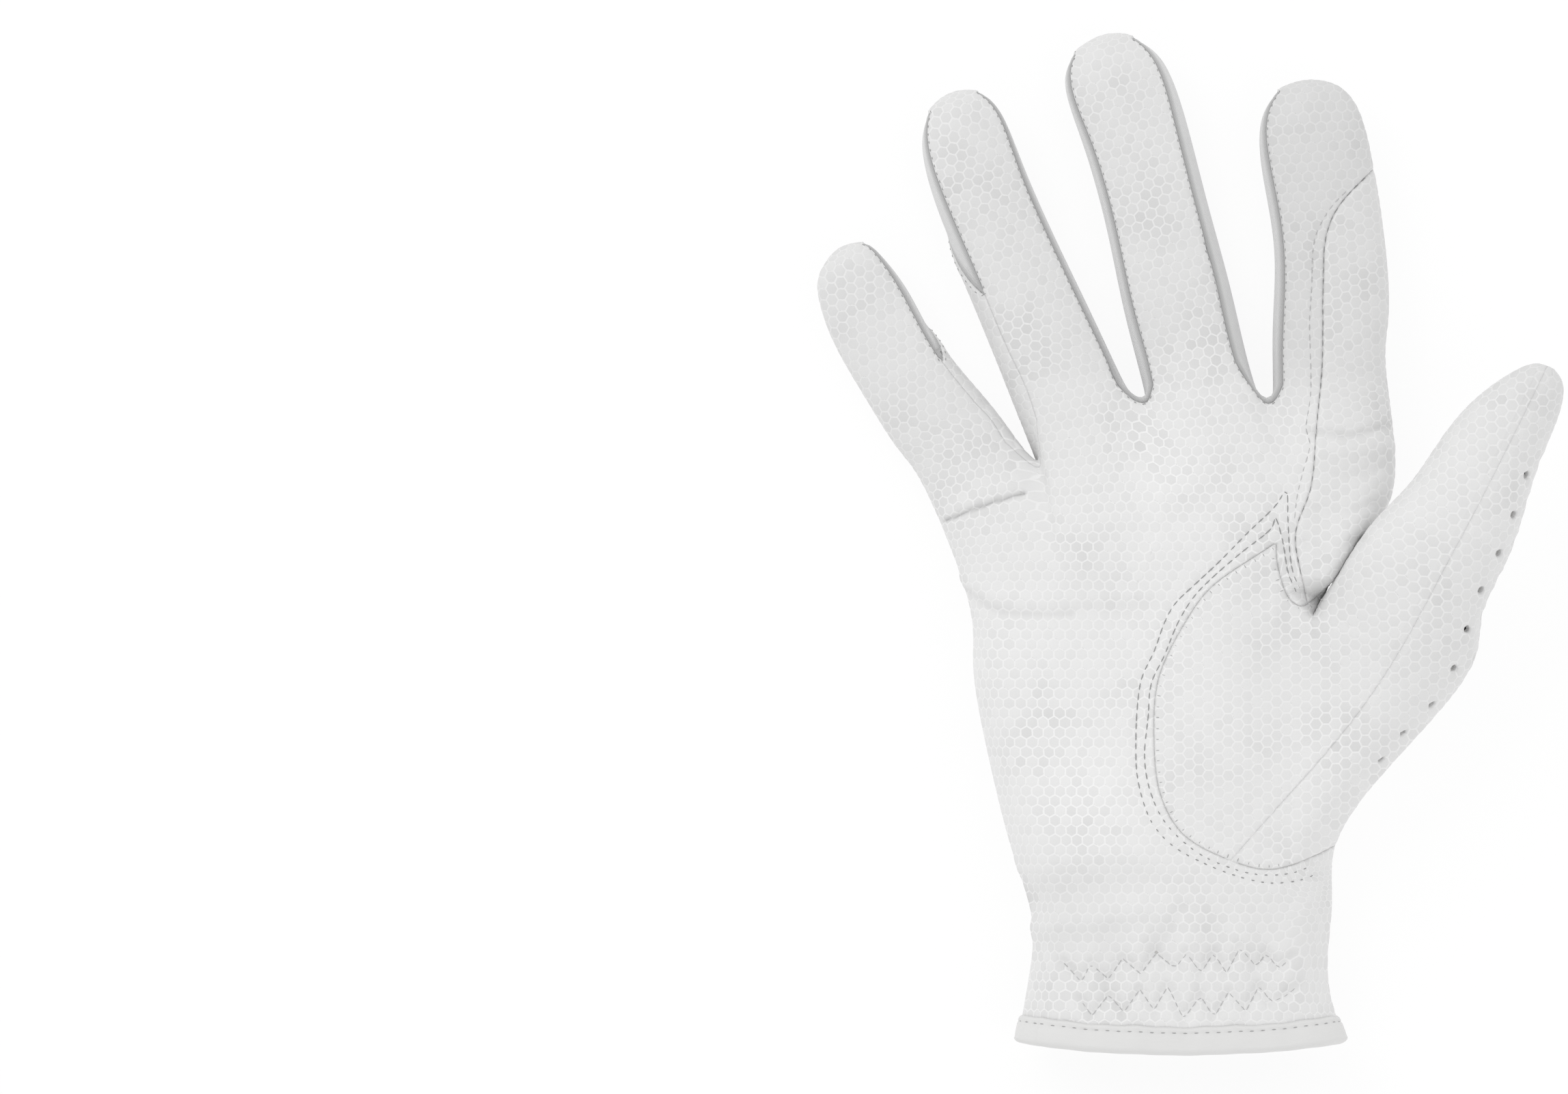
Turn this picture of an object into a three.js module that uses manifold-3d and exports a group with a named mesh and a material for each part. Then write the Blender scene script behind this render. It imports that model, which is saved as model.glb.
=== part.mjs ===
// A leather riding glove for the right hand, lying on its back with the palm up.
// Millimetres, +Z up: X runs from the little finger to the thumb and Y from the cuff to the fingertips.
// A coarse cage of four-sided faces follows the short tables below and is rounded by Catmull-Clark
// subdivision. Each leather or knit panel is a patch of that surface, thickened inwards into a closed wall.
import * as THREE from "three";
import Module from "manifold-3d";

const wasm = await Module();
wasm.setup();

// Palm
const palmLength = 143.5;
const palmBreadth = 92;
const palmThickness = 26;
const hemBow = 2.4;

// Fingers: from the root of each, inside the palm, to its tip
const littleLength = 63.4;
const littleBreadth = 22;
const littleThickness = 14;
const ringLength = 80.2;
const ringBreadth = 24;
const ringThickness = 15.5;
const middleLength = 83.9;
const middleBreadth = 25;
const middleThickness = 16;
const indexLength = 75.8;
const indexBreadth = 25.5;
const indexThickness = 16;
const thumbLength = 84.7;
const thumbBreadth = 27;
const thumbThickness = 20;

// How far the crotch on the thumb side of a finger lies below its first section, and how far the
// ends of the knuckle line hang back
const littleCrotch = 10;
const ringCrotch = 4.4;
const middleCrotch = 7;
const outerShoulder = 3;
const innerShoulder = 4;

// Walls, seams and trim
const wall = 1.2;
const seamGap = 0.3;
const restFlat = 0.35;
const bindingHeight = 6.6;
const bindingTape = 0.9;
const bindingClearance = 0.3;
const hemLift = 1.65;
const gatherDepth = 0.7;
const gatherPitch = 11;
const vent = 1.3;
const ventPitch = 8.9;

// Sections of each finger. along: share of its length; drift: sideways, share of its breadth;
// breadth and depth: shares of its breadth and thickness; rise: gap to the table, share of its
// thickness; taper: how far the two seams of the side strip have closed up towards the tip.
const LITTLE_ROWS = [
  { along: 0.12, drift: -0.03, breadth: 1.03, depth: 1.12, rise: 0.0, taper: 0.0 },
  { along: 0.3, drift: -0.06, breadth: 1.0, depth: 1.02, rise: 0.0, taper: 0.0 },
  { along: 0.52, drift: -0.1, breadth: 0.93, depth: 0.97, rise: 0.05, taper: 0.0 },
  { along: 0.74, drift: -0.07, breadth: 0.93, depth: 0.93, rise: 0.14, taper: 0.05 },
  { along: 0.9, drift: -0.03, breadth: 0.77, depth: 0.8, rise: 0.27, taper: 0.35 },
  { along: 0.965, drift: 0.0, breadth: 0.52, depth: 0.54, rise: 0.42, taper: 0.75 },
];
const RING_ROWS = [
  { along: 0.08, drift: -0.03, breadth: 1.04, depth: 1.1, rise: 0.0, taper: 0.0 },
  { along: 0.28, drift: -0.04, breadth: 1.0, depth: 1.02, rise: 0.0, taper: 0.0 },
  { along: 0.5, drift: -0.06, breadth: 0.96, depth: 0.97, rise: 0.04, taper: 0.0 },
  { along: 0.72, drift: -0.07, breadth: 0.94, depth: 0.93, rise: 0.13, taper: 0.05 },
  { along: 0.89, drift: -0.03, breadth: 0.85, depth: 0.82, rise: 0.25, taper: 0.35 },
  { along: 0.97, drift: 0.0, breadth: 0.53, depth: 0.54, rise: 0.4, taper: 0.75 },
];
const MIDDLE_ROWS = [
  { along: 0.08, drift: -0.035, breadth: 1.01, depth: 1.1, rise: 0.0, taper: 0.0 },
  { along: 0.28, drift: -0.01, breadth: 1.02, depth: 1.02, rise: 0.0, taper: 0.0 },
  { along: 0.5, drift: 0.02, breadth: 0.98, depth: 0.97, rise: 0.03, taper: 0.0 },
  { along: 0.72, drift: 0.03, breadth: 0.99, depth: 0.93, rise: 0.12, taper: 0.05 },
  { along: 0.89, drift: -0.005, breadth: 0.95, depth: 0.82, rise: 0.23, taper: 0.35 },
  { along: 0.97, drift: -0.025, breadth: 0.58, depth: 0.54, rise: 0.38, taper: 0.75 },
];
const INDEX_ROWS = [
  { along: 0.12, drift: -0.015, breadth: 1.01, depth: 1.1, rise: 0.0, taper: 0.0 },
  { along: 0.3, drift: 0.035, breadth: 1.03, depth: 1.02, rise: 0.0, taper: 0.0 },
  { along: 0.52, drift: 0.07, breadth: 0.985, depth: 0.97, rise: 0.04, taper: 0.0 },
  { along: 0.74, drift: 0.015, breadth: 0.985, depth: 0.93, rise: 0.13, taper: 0.05 },
  { along: 0.89, drift: -0.015, breadth: 0.88, depth: 0.82, rise: 0.24, taper: 0.35 },
  { along: 0.97, drift: -0.01, breadth: 0.55, depth: 0.54, rise: 0.39, taper: 0.75 },
];

// The four fingers, little to index. across and root: the root's place, shares of half the palm's
// breadth and of its length; splay: lean towards the thumb in degrees; seamLeft, seamRight: where
// the palm-side seams show, shares of half the breadth; crotchDrop: how far the crotch on the
// thumb side lies below the first section, mm.
const FINGERS = [
  { name: "little", length: littleLength, breadth: littleBreadth, thickness: littleThickness,
    across: -0.941, root: 0.863, splay: -32.1, seamLeft: 0.76, seamRight: 0.8, crotchDrop: littleCrotch, rows: LITTLE_ROWS },
  { name: "ring", length: ringLength, breadth: ringBreadth, thickness: ringThickness,
    across: -0.474, root: 0.959, splay: -22.5, seamLeft: 0.74, seamRight: 0.84, crotchDrop: ringCrotch, rows: RING_ROWS },
  { name: "middle", length: middleLength, breadth: middleBreadth, thickness: middleThickness,
    across: 0.096, root: 1.003, splay: -15.9, seamLeft: 0.8, seamRight: 0.72, crotchDrop: middleCrotch, rows: MIDDLE_ROWS },
  { name: "index", length: indexLength, breadth: indexBreadth, thickness: indexThickness,
    across: 0.696, root: 0.969, splay: -4.2, seamLeft: 0.8, seamRight: 0.76, crotchDrop: 0, rows: INDEX_ROWS },
];
const backSeam = 0.76;

// Sections of the palm, cuff first. along: share of the way to the finger crotches; left, right:
// edges, shares of half the palm's breadth; height: share of its thickness; spread: 0 where the
// cage's columns are even, 1 where they line up with the fingers.
const PALM_ROWS = [
  { along: 0.0, left: -0.812, right: 0.745, height: 0.84, spread: 0.0 },
  { along: 0.1, left: -0.765, right: 0.67, height: 0.82, spread: 0.0 },
  { along: 0.22, left: -0.745, right: 0.69, height: 0.86, spread: 0.0 },
  { along: 0.35, left: -0.84, right: 0.785, height: 0.95, spread: 0.2 },
  { along: 0.52, left: -0.95, right: 0.83, height: 0.98, spread: 0.5 },
  { along: 0.69, left: -1.025, right: 0.67, height: 0.95, spread: 0.8 },
  { along: 0.82, left: -1.05, right: 0.965, height: 0.88, spread: 1.0 },
];

// Soft swellings and hollows of the palm's front. across, along: centre, shares of half the
// palm's breadth and of its length; radius: share of its breadth; height: share of its thickness.
const PADS = [
  { name: "thumb pad", across: 0.42, along: 0.5, radius: 0.3, height: 0.1 },
  { name: "outer pad", across: -0.66, along: 0.42, radius: 0.26, height: 0.04 },
  { name: "hollow", across: -0.1, along: 0.68, radius: 0.3, height: -0.09 },
];

// Sections of the thumb, as for the fingers, with height: the middle's height, share of the palm's thickness.
const THUMB_ROWS = [
  { along: 0.165, drift: 0.085, breadth: 1.2, depth: 1.25, height: 0.72 },
  { along: 0.354, drift: -0.01, breadth: 1.13, depth: 1.05, height: 0.93 },
  { along: 0.53, drift: 0.0, breadth: 0.99, depth: 0.97, height: 1.07 },
  { along: 0.728, drift: -0.04, breadth: 0.8, depth: 0.86, height: 1.16 },
  { along: 0.874, drift: -0.013, breadth: 0.615, depth: 0.7, height: 1.2 },
  { along: 0.966, drift: 0.024, breadth: 0.37, depth: 0.44, height: 1.21 },
];
const THUMB = { across: 0.789, root: 0.542, splay: 29.6 };

// Seams seen from the palm side, as smooth lines through points. x: share of half the palm's
// breadth; y: share of its length.
const HALF_MOON = [
  { x: 0.86, y: 0.35 },
  { x: 0.69, y: 0.316 },
  { x: 0.39, y: 0.284 },
  { x: 0.198, y: 0.298 },
  { x: -0.03, y: 0.338 },
  { x: -0.14, y: 0.4 },
  { x: -0.17, y: 0.493 },
  { x: -0.145, y: 0.58 },
  { x: 0.0, y: 0.673 },
  { x: 0.107, y: 0.717 },
  { x: 0.417, y: 0.785 },
];
const QUIRK = [
  { x: 0.417, y: 0.785 },
  { x: 0.465, y: 0.735 },
  { x: 0.53, y: 0.694 },
];
const THUMB_SEAM = [
  { x: 0.198, y: 0.298 },
  { x: 0.85, y: 0.545 },
  { x: 1.28, y: 0.79 },
  { x: 1.69, y: 1.05 },
];
const INDEX_SEAM = [
  { x: 0.6, y: 0.66 },
  { x: 0.53, y: 0.74 },
  { x: 0.51, y: 0.8 },
  { x: 0.583, y: 0.87 },
  { x: 0.612, y: 0.965 },
  { x: 0.64, y: 1.06 },
  { x: 0.645, y: 1.17 },
  { x: 0.66, y: 1.255 },
  { x: 0.72, y: 1.3 },
  { x: 0.93, y: 1.37 },
];
const LOW_VENTS = [
  { x: 1.157, y: 0.537 },
  { x: 1.026, y: 0.492 },
  { x: 0.915, y: 0.451 },
];
const FAR = 200;

const halfPalm = palmBreadth / 2;
const hemHeight = bindingTape + bindingClearance;
const radians = THREE.MathUtils.degToRad;
const mix = THREE.MathUtils.lerp;
const v3 = (x, y, z) => new THREE.Vector3(x, y, z);

// The height of a superellipse of half-height 1 at the share s of its half-breadth.
function arch(s, power) {
  return Math.pow(Math.max(0, 1 - Math.pow(Math.abs(s), power)), 1 / power);
}

// A finger's own directions: out along it, and across it towards the thumb.
function directions(splay) {
  const a = radians(splay);
  return { out: v3(Math.sin(a), Math.cos(a), 0), side: v3(Math.cos(a), -Math.sin(a), 0) };
}

function rootOf(part) {
  return v3(part.across * halfPalm, part.root * palmLength, 0);
}

// The eight points round one finger section: side, palm-side seam, palm, seam, side, and round the back.
function fingerRing(finger, row) {
  const { out, side } = directions(finger.splay);
  const half = (row.breadth * finger.breadth) / 2;
  const deep = (row.depth * finger.thickness) / 2;
  const middle = row.rise * finger.thickness + deep;
  const left = mix(finger.seamLeft, 0.95, row.taper);
  const right = mix(finger.seamRight, 0.95, row.taper);
  const back = mix(backSeam, 0.95, row.taper);
  const power = 2.4;
  const places = [
    [-1, 0],
    [-left, arch(left, power)],
    [(right - left) / 2, 1],
    [right, arch(right, power)],
    [1, 0],
    [back, -arch(back, power)],
    [0, -1],
    [-back, -arch(back, power)],
  ];
  const centre = rootOf(finger)
    .addScaledVector(out, row.along * finger.length)
    .addScaledVector(side, row.drift * finger.breadth);
  return places.map(([s, h]) => centre.clone().addScaledVector(side, s * half).setZ(middle + h * deep));
}

function thumbPlace(row) {
  const { out, side } = directions(THUMB.splay);
  return rootOf(THUMB)
    .addScaledVector(out, row.along * thumbLength)
    .addScaledVector(side, row.drift * thumbBreadth)
    .setZ(row.height * palmThickness);
}

// A point of the thumb's section at an angle: 0 is the outer side, 90 degrees the palm side.
function thumbPoint(row, angle) {
  const { side } = directions(THUMB.splay);
  const half = (row.breadth * thumbBreadth) / 2;
  const deep = (row.depth * thumbThickness) / 2;
  const p = thumbPlace(row).addScaledVector(side, half * Math.cos(angle));
  return p.setZ(p.z + deep * Math.sin(angle));
}

// How much the pads raise the palm's front at a place.
function padHeight(x, y) {
  let sum = 0;
  for (const pad of PADS) {
    const d = Math.hypot(x - pad.across * halfPalm, y - pad.along * palmLength) / (pad.radius * palmBreadth);
    sum += pad.height * palmThickness * Math.exp(-d * d);
  }
  return sum;
}

// The cage: target points that the smooth surface passes through, and faces marked with their panel.
function buildCage() {
  const points = [];
  const faces = [];
  const add = (p) => points.push(p) - 1;
  const face = (panel, ...corners) => faces.push({ panel, corners });
  const COLUMNS = 15;
  const AROUND = 2 * COLUMNS + 2;

  const rings = FINGERS.map((f) => f.rows.map((row) => fingerRing(f, row).map(add)));
  const crotches = FINGERS.slice(0, -1).map((f, i) => {
    const next = FINGERS[i + 1];
    const down = directions(f.splay).out.add(directions(next.splay).out).normalize().multiplyScalar(-f.crotchDrop);
    return [[3, 1, 0.9], [4, 0, 1], [5, 7, 0.9]].map(([mine, theirs, share]) => {
      const p = points[rings[i][0][mine]].clone().add(points[rings[i + 1][0][theirs]]).multiplyScalar(0.5);
      return add(p.addScaledVector(down, share));
    });
  });

  // The palm's uppermost row is made of the finger roots and the crotches between them.
  const top = new Array(AROUND);
  FINGERS.forEach((f, i) => {
    const base = rings[i][0];
    [1, 2, 3].forEach((n, j) => (top[4 * i + j] = base[n]));
    [7, 6, 5].forEach((n, j) => (top[AROUND - 2 - (4 * i + j)] = base[n]));
    if (i < crotches.length) {
      top[4 * i + 3] = crotches[i][0];
      top[AROUND - 2 - (4 * i + 3)] = crotches[i][2];
    }
  });
  top[COLUMNS] = rings[3][0][4];
  top[AROUND - 1] = rings[0][0][0];

  const leftEdge = points[top[AROUND - 1]];
  const rightEdge = points[top[COLUMNS]];
  const across = (column) => {
    if (column < 0) return leftEdge.x;
    if (column >= COLUMNS) return rightEdge.x;
    // A crotch hangs back between its fingers, so its column is led midway between theirs instead.
    if (column % 4 === 3) return (across(column - 1) + across(column + 1)) / 2;
    return points[top[column]].x;
  };
  const knots = [leftEdge.y - outerShoulder, ...crotches.map((c) => points[c[1]].y), rightEdge.y - innerShoulder];
  const topLine = (column) => {
    const place = (column + 1) / 4;
    const k = Math.min(3, Math.floor(place));
    return mix(knots[k], knots[k + 1], place - k);
  };

  const rows = PALM_ROWS.map((row) => {
    const left = row.left * halfPalm;
    const right = row.right * halfPalm;
    const middle = (row.height * palmThickness) / 2;
    return Array.from({ length: AROUND }, (_, k) => {
      const front = k <= COLUMNS || k === AROUND - 1;
      const column = k === AROUND - 1 ? -1 : k <= COLUMNS ? k : AROUND - 2 - k;
      const even = -1 + (2 * (column + 1)) / (COLUMNS + 1);
      const lined = -1 + (2 * (across(column) - leftEdge.x)) / (rightEdge.x - leftEdge.x);
      const t = mix(even, lined, row.spread);
      const x = mix(left, right, (t + 1) / 2);
      const y = hemHeight + row.along * (topLine(column) - hemHeight) + hemBow * t * t * (1 - row.along);
      const z = front
        ? middle + middle * arch(t, 2.5) + (Math.abs(t) < 1 ? padHeight(x, y) * arch(t, 2) : 0)
        : middle - middle * Math.min(1, 1.04 * arch(t, 3.4));
      const lift = hemLift * Math.max(0, 1 - row.along / PALM_ROWS[1].along);
      return add(v3(x, y, z + lift));
    });
  });
  rows.push(top);

  // The thumb leaves through a hole two rows tall and four columns wide, round the thumb-side edge.
  const thumbRow = 3;
  const inHole = (r, k) => r >= thumbRow && r < thumbRow + 2 && k >= 13 && k < 17;
  for (let r = 0; r + 1 < rows.length; r++)
    for (let k = 0; k < AROUND; k++) {
      if (inHole(r, k)) continue;
      const n = (k + 1) % AROUND;
      const panel = k < COLUMNS || k === AROUND - 1 ? "front" : "back";
      face(panel, rows[r][k], rows[r][n], rows[r + 1][n], rows[r + 1][k]);
    }

  // Which panel covers the face between ring points n and n + 1 of finger i, at height j.
  const fingerPanel = (i, n, j) => {
    if (n === 1 || n === 2) return "front";
    if (n === 5 || n === 6) return "back";
    const onRight = n === 3 || n === 4;
    if (i === 0 && !onRight) return n === 0 ? "front" : "back";
    if (i === 3 && onRight) return n === 3 ? "front" : "back";
    if (i === 0) return j < 2 ? "gusset" : "fourchette_little";
    if (i === 1 && !onRight) return j < 1 ? "gusset" : "fourchette_ring";
    return onRight ? FOURCHETTES[i] : FOURCHETTES[i - 1];
  };
  const cap = (ring, tip, panelOf) => {
    for (let n = 0; n < ring.length; n += 2)
      face(panelOf(n), ring[n], ring[n + 1], ring[(n + 2) % ring.length], tip);
  };
  rings.forEach((ring, i) => {
    for (let j = 0; j + 1 < ring.length; j++)
      for (let n = 0; n < 8; n++) {
        const m = (n + 1) % 8;
        face(fingerPanel(i, n, j), ring[j][n], ring[j][m], ring[j + 1][m], ring[j + 1][n]);
      }
    const last = ring[ring.length - 1];
    const finger = FINGERS[i];
    const tip = rootOf(finger).addScaledVector(directions(finger.splay).out, finger.length);
    const end = add(tip.setZ(points[last[0]].z));
    cap(last, end, (n) => (n < 4 ? "front" : "back"));
  });
  crotches.forEach(([front, middle, back], i) => {
    const panel = i === 0 ? "gusset" : FOURCHETTES[i];
    const mine = rings[i][0];
    const theirs = rings[i + 1][0];
    face(panel, front, middle, mine[4], mine[3]);
    face(panel, middle, back, mine[5], mine[4]);
    face(panel, back, middle, theirs[0], theirs[7]);
    face(panel, middle, front, theirs[1], theirs[0]);
  });

  // Round the hole from the cuff's outer side, over the palm side, to the crotch and back underneath.
  const low = rows[thumbRow];
  const half = rows[thumbRow + 1];
  const high = rows[thumbRow + 2];
  const loop = [low[15], low[14], low[13], half[13], high[13], high[14], high[15], high[16], high[17], half[17],
    low[17], low[16]];
  let last = loop;
  for (const row of THUMB_ROWS) {
    const ring = loop.map((_, j) => add(thumbPoint(row, (j / loop.length) * 2 * Math.PI)));
    // The cage's faces run outwards from the last ring, turned the other way round from a finger's.
    loop.forEach((_, j) => {
      const n = (j + 1) % loop.length;
      face("thumb", last[n], last[j], ring[j], ring[n]);
    });
    last = ring;
  }
  const tip = add(thumbPlace({ ...THUMB_ROWS.at(-1), along: 1 }));
  for (let n = 0; n < last.length; n += 2) face("thumb", last[(n + 2) % last.length], last[n + 1], last[n], tip);

  // The stretch of the hole's edge where the thumb and the palm's front are one piece of leather.
  const joined = new Set([low[15], low[14], low[13], half[13], high[13]]);
  return { points, faces, joined, cuff: rows[0] };
}
const FOURCHETTES = ["", "fourchette_ring_middle", "fourchette_middle_index"];

// The edges of a mesh, each with the faces on its two sides.
function edgesOf(faces) {
  const edges = new Map();
  faces.forEach(({ corners }, f) =>
    corners.forEach((a, i) => {
      const b = corners[(i + 1) % corners.length];
      const key = a < b ? a + "," + b : b + "," + a;
      if (!edges.has(key)) edges.set(key, { a, b, faces: [] });
      edges.get(key).faces.push(f);
    }),
  );
  return edges;
}

// Where the smooth surface passes each point of a mesh of four-sided faces.
function limitPoints({ points, faces }) {
  const sums = points.map(() => ({ near: v3(0, 0, 0), far: v3(0, 0, 0), rim: v3(0, 0, 0), count: 0, rims: 0 }));
  for (const { a, b, faces: sides } of edgesOf(faces).values())
    for (const [from, to] of [[a, b], [b, a]]) {
      sums[from].near.add(points[to]);
      if (sides.length === 1) {
        sums[from].rim.add(points[to]);
        sums[from].rims++;
      }
    }
  for (const { corners } of faces)
    corners.forEach((c, i) => {
      sums[c].far.add(points[corners[(i + 2) % 4]]);
      sums[c].count++;
    });
  return points.map((p, i) => {
    const { near, far, rim, count: n, rims } = sums[i];
    if (rims) return p.clone().multiplyScalar(4).add(rim).divideScalar(6);
    return p.clone().multiplyScalar(n * n).addScaledVector(near, 4).add(far).divideScalar(n * (n + 5));
  });
}

// Moves the cage's points until the smooth surface passes through the places they started from.
function fitCage(cage) {
  const goal = cage.points.map((p) => p.clone());
  for (let i = 0; i < 14; i++)
    limitPoints(cage).forEach((p, n) => cage.points[n].add(goal[n]).sub(p));
}

// One step of Catmull-Clark subdivision. The old points keep their numbers.
function subdivide(mesh) {
  const { points, faces } = mesh;
  const edges = edgesOf(faces);
  const centres = faces.map(({ corners }) =>
    corners.reduce((s, c) => s.add(points[c]), v3(0, 0, 0)).divideScalar(corners.length),
  );
  const sums = points.map(() => ({ mid: v3(0, 0, 0), centre: v3(0, 0, 0), rim: v3(0, 0, 0), n: 0, rims: 0 }));
  for (const e of edges.values()) {
    const mid = points[e.a].clone().add(points[e.b]).multiplyScalar(0.5);
    for (const p of [e.a, e.b]) {
      sums[p].mid.add(mid);
      sums[p].n++;
      if (e.faces.length === 1) {
        sums[p].rim.add(mid);
        sums[p].rims++;
      }
    }
    e.point = e.faces.length === 1 ? mid
      : mid.clone().multiplyScalar(2).add(centres[e.faces[0]]).add(centres[e.faces[1]]).divideScalar(4);
  }
  faces.forEach(({ corners }, f) => corners.forEach((c) => sums[c].centre.add(centres[f])));
  const made = points.map((p, i) => {
    const { mid, centre, rim, n, rims } = sums[i];
    if (rims) return p.clone().multiplyScalar(2).add(rim).divideScalar(4);
    return centre.divideScalar(n).addScaledVector(mid, 2 / n).addScaledVector(p, n - 3).divideScalar(n);
  });
  for (const e of edges.values()) e.index = made.push(e.point) - 1;
  const split = [];
  faces.forEach(({ panel, corners }, f) => {
    const centre = made.push(centres[f]) - 1;
    const edge = corners.map((a, i) => {
      const b = corners[(i + 1) % corners.length];
      return edges.get(a < b ? a + "," + b : b + "," + a).index;
    });
    corners.forEach((c, i) =>
      split.push({ panel, corners: [c, edge[i], centre, edge[(i + corners.length - 1) % corners.length]] }),
    );
  });
  const follow = (set) => {
    const wider = new Set(set);
    for (const e of edges.values()) if (set.has(e.a) && set.has(e.b)) wider.add(e.index);
    return wider;
  };
  const cuff = mesh.cuff.flatMap((a, i) => {
    const b = mesh.cuff[(i + 1) % mesh.cuff.length];
    return [a, edges.get(a < b ? a + "," + b : b + "," + a).index];
  });
  return { points: made, faces: split, joined: follow(mesh.joined), cuff };
}

// The elastic at the wrist draws the palm's front into small upright gathers.
function gather(p, panel) {
  if (panel !== "front") return;
  const from = bindingHeight + 2;
  const to = palmLength * 0.23;
  if (p.y < from || p.y > to) return;
  const share = (p.y - from) / (to - from);
  p.z += gatherDepth * Math.sin(Math.PI * share) * Math.cos((2 * Math.PI * p.x) / gatherPitch);
}

// The outer surface of the whole glove, with a unit normal at each point.
function buildSurface() {
  const cage = buildCage();
  fitCage(cage);
  const mesh = subdivide(cage);
  mesh.points = limitPoints(mesh);
  const panelOf = new Map();
  for (const { panel, corners } of mesh.faces) corners.forEach((c) => panelOf.set(c, panel));
  mesh.points.forEach((p, i) => {
    gather(p, panelOf.get(i));
    p.z = Math.max(0, p.z - restFlat);
  });
  mesh.normals = mesh.points.map(() => v3(0, 0, 0));
  for (const { corners } of mesh.faces) {
    const [a, b, c, d] = corners.map((i) => mesh.points[i]);
    const n = c.clone().sub(a).cross(d.clone().sub(b));
    corners.forEach((i) => mesh.normals[i].add(n));
  }
  mesh.normals.forEach((n) => n.normalize());
  return mesh;
}

// A closed wall under the faces of some panels, held back from each seam by half the gap.
function thicken(mesh, panels) {
  const faces = mesh.faces.filter(({ panel }) => panels.includes(panel));
  const global = edgesOf(mesh.faces);
  const rim = [...edgesOf(faces).values()].filter((e) => e.faces.length === 1);
  const inward = new Map();
  const oriented = rim.map((e) => {
    const corners = faces[e.faces[0]].corners;
    const i = corners.indexOf(e.a);
    const forward = corners[(i + 1) % corners.length] === e.b;
    return forward ? [e.a, e.b] : [e.b, e.a];
  });
  for (const [a, b] of oriented) {
    if (global.get(a < b ? a + "," + b : b + "," + a).faces.length === 1) continue;
    if (mesh.joined.has(a) && mesh.joined.has(b)) continue;
    for (const i of [a, b]) {
      const along = mesh.points[b].clone().sub(mesh.points[a]).normalize();
      const into = mesh.normals[i].clone().cross(along).normalize();
      inward.set(i, (inward.get(i) ?? v3(0, 0, 0)).add(into));
    }
  }
  const used = [...new Set(faces.flatMap(({ corners }) => corners))];
  const place = new Map(used.map((i, n) => [i, n]));
  const vertices = [];
  const outer = used.map((i) => {
    const p = mesh.points[i].clone();
    if (inward.has(i) && !mesh.joined.has(i)) p.addScaledVector(inward.get(i).clone().normalize(), seamGap / 2);
    return p;
  });
  const inner = outer.map((p, n) => p.clone().addScaledVector(mesh.normals[used[n]], -wall));
  for (const p of [...outer, ...inner]) vertices.push(p.x, p.y, p.z);
  const triangles = [];
  const count = used.length;
  for (const { corners } of faces) {
    const [a, b, c, d] = corners.map((i) => place.get(i));
    triangles.push(a, b, c, a, c, d);
    triangles.push(count + a, count + c, count + b, count + a, count + d, count + c);
  }
  for (const [from, to] of oriented) {
    const [a, b] = [place.get(from), place.get(to)];
    // Both walls of a shared edge are split along the same diagonal, so that they join cleanly.
    if (from < to) triangles.push(b, a, count + a, b, count + a, count + b);
    else triangles.push(b, a, count + b, a, count + a, count + b);
  }
  return solid(vertices, triangles);
}

function solid(vertices, triangles) {
  return new wasm.Manifold(
    new wasm.Mesh({
      numProp: 3,
      vertProperties: new Float32Array(vertices),
      triVerts: new Uint32Array(triangles),
    }),
  );
}

// A three.js geometry as a solid for cutting, its shared points merged.
function solidOf(geometry) {
  const position = (geometry.index ? geometry.toNonIndexed() : geometry).getAttribute("position");
  const seen = new Map();
  const vertices = [];
  const triangles = [];
  for (let i = 0; i < position.count; i++) {
    const xyz = [position.getX(i), position.getY(i), position.getZ(i)];
    const key = xyz.map((c) => c.toFixed(4)).join();
    if (!seen.has(key)) {
      seen.set(key, vertices.length / 3);
      vertices.push(...xyz);
    }
    triangles.push(seen.get(key));
  }
  const flat = [];
  for (let i = 0; i < triangles.length; i += 3) {
    const [a, b, c] = triangles.slice(i, i + 3);
    if (a !== b && b !== c && c !== a) flat.push(a, b, c);
  }
  return solid(vertices, flat);
}

// The points of a seam line, in millimetres, smoothly joined.
function seamLine(table, pieces) {
  const curve = new THREE.CatmullRomCurve3(table.map(({ x, y }) => v3(x * halfPalm, y * palmLength, 0)), false,
    "centripetal");
  return curve.getPoints(pieces);
}

// Shifts a line sideways, to its right as it runs, with sharp corners kept sharp.
function shifted(line, distance) {
  const normals = line.slice(1).map((p, i) => {
    const along = p.clone().sub(line[i]).normalize();
    return v3(along.y, -along.x, 0);
  });
  return line.map((p, i) => {
    const before = normals[Math.max(i - 1, 0)];
    const after = normals[Math.min(i, normals.length - 1)];
    const both = before.clone().add(after);
    return p.clone().addScaledVector(both, distance / Math.max(0.3, 1 + before.dot(after)));
  });
}

// An upright cutter over a closed outline, from a floor height at each place up to a flat top.
function cutter(outline, floor = () => -FAR) {
  const shape = new THREE.Shape(outline.map((p) => new THREE.Vector2(p.x, p.y)));
  const geometry = new THREE.ExtrudeGeometry(shape, { depth: 1, bevelEnabled: false, steps: 1 });
  const position = geometry.getAttribute("position");
  for (let i = 0; i < position.count; i++)
    position.setZ(i, position.getZ(i) < 0.5 ? floor(position.getX(i), position.getY(i)) : FAR);
  return solidOf(geometry);
}

// The half-moon that the thumb's leather fills in the palm, grown by a distance.
function moonCutter(grow) {
  const edge = shifted([...seamLine(HALF_MOON, 22), ...seamLine(QUIRK, 4).slice(1)], -grow);
  return cutter([...edge, v3(FAR, edge.at(-1).y, 0), v3(FAR, edge[0].y, 0)]);
}

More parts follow.
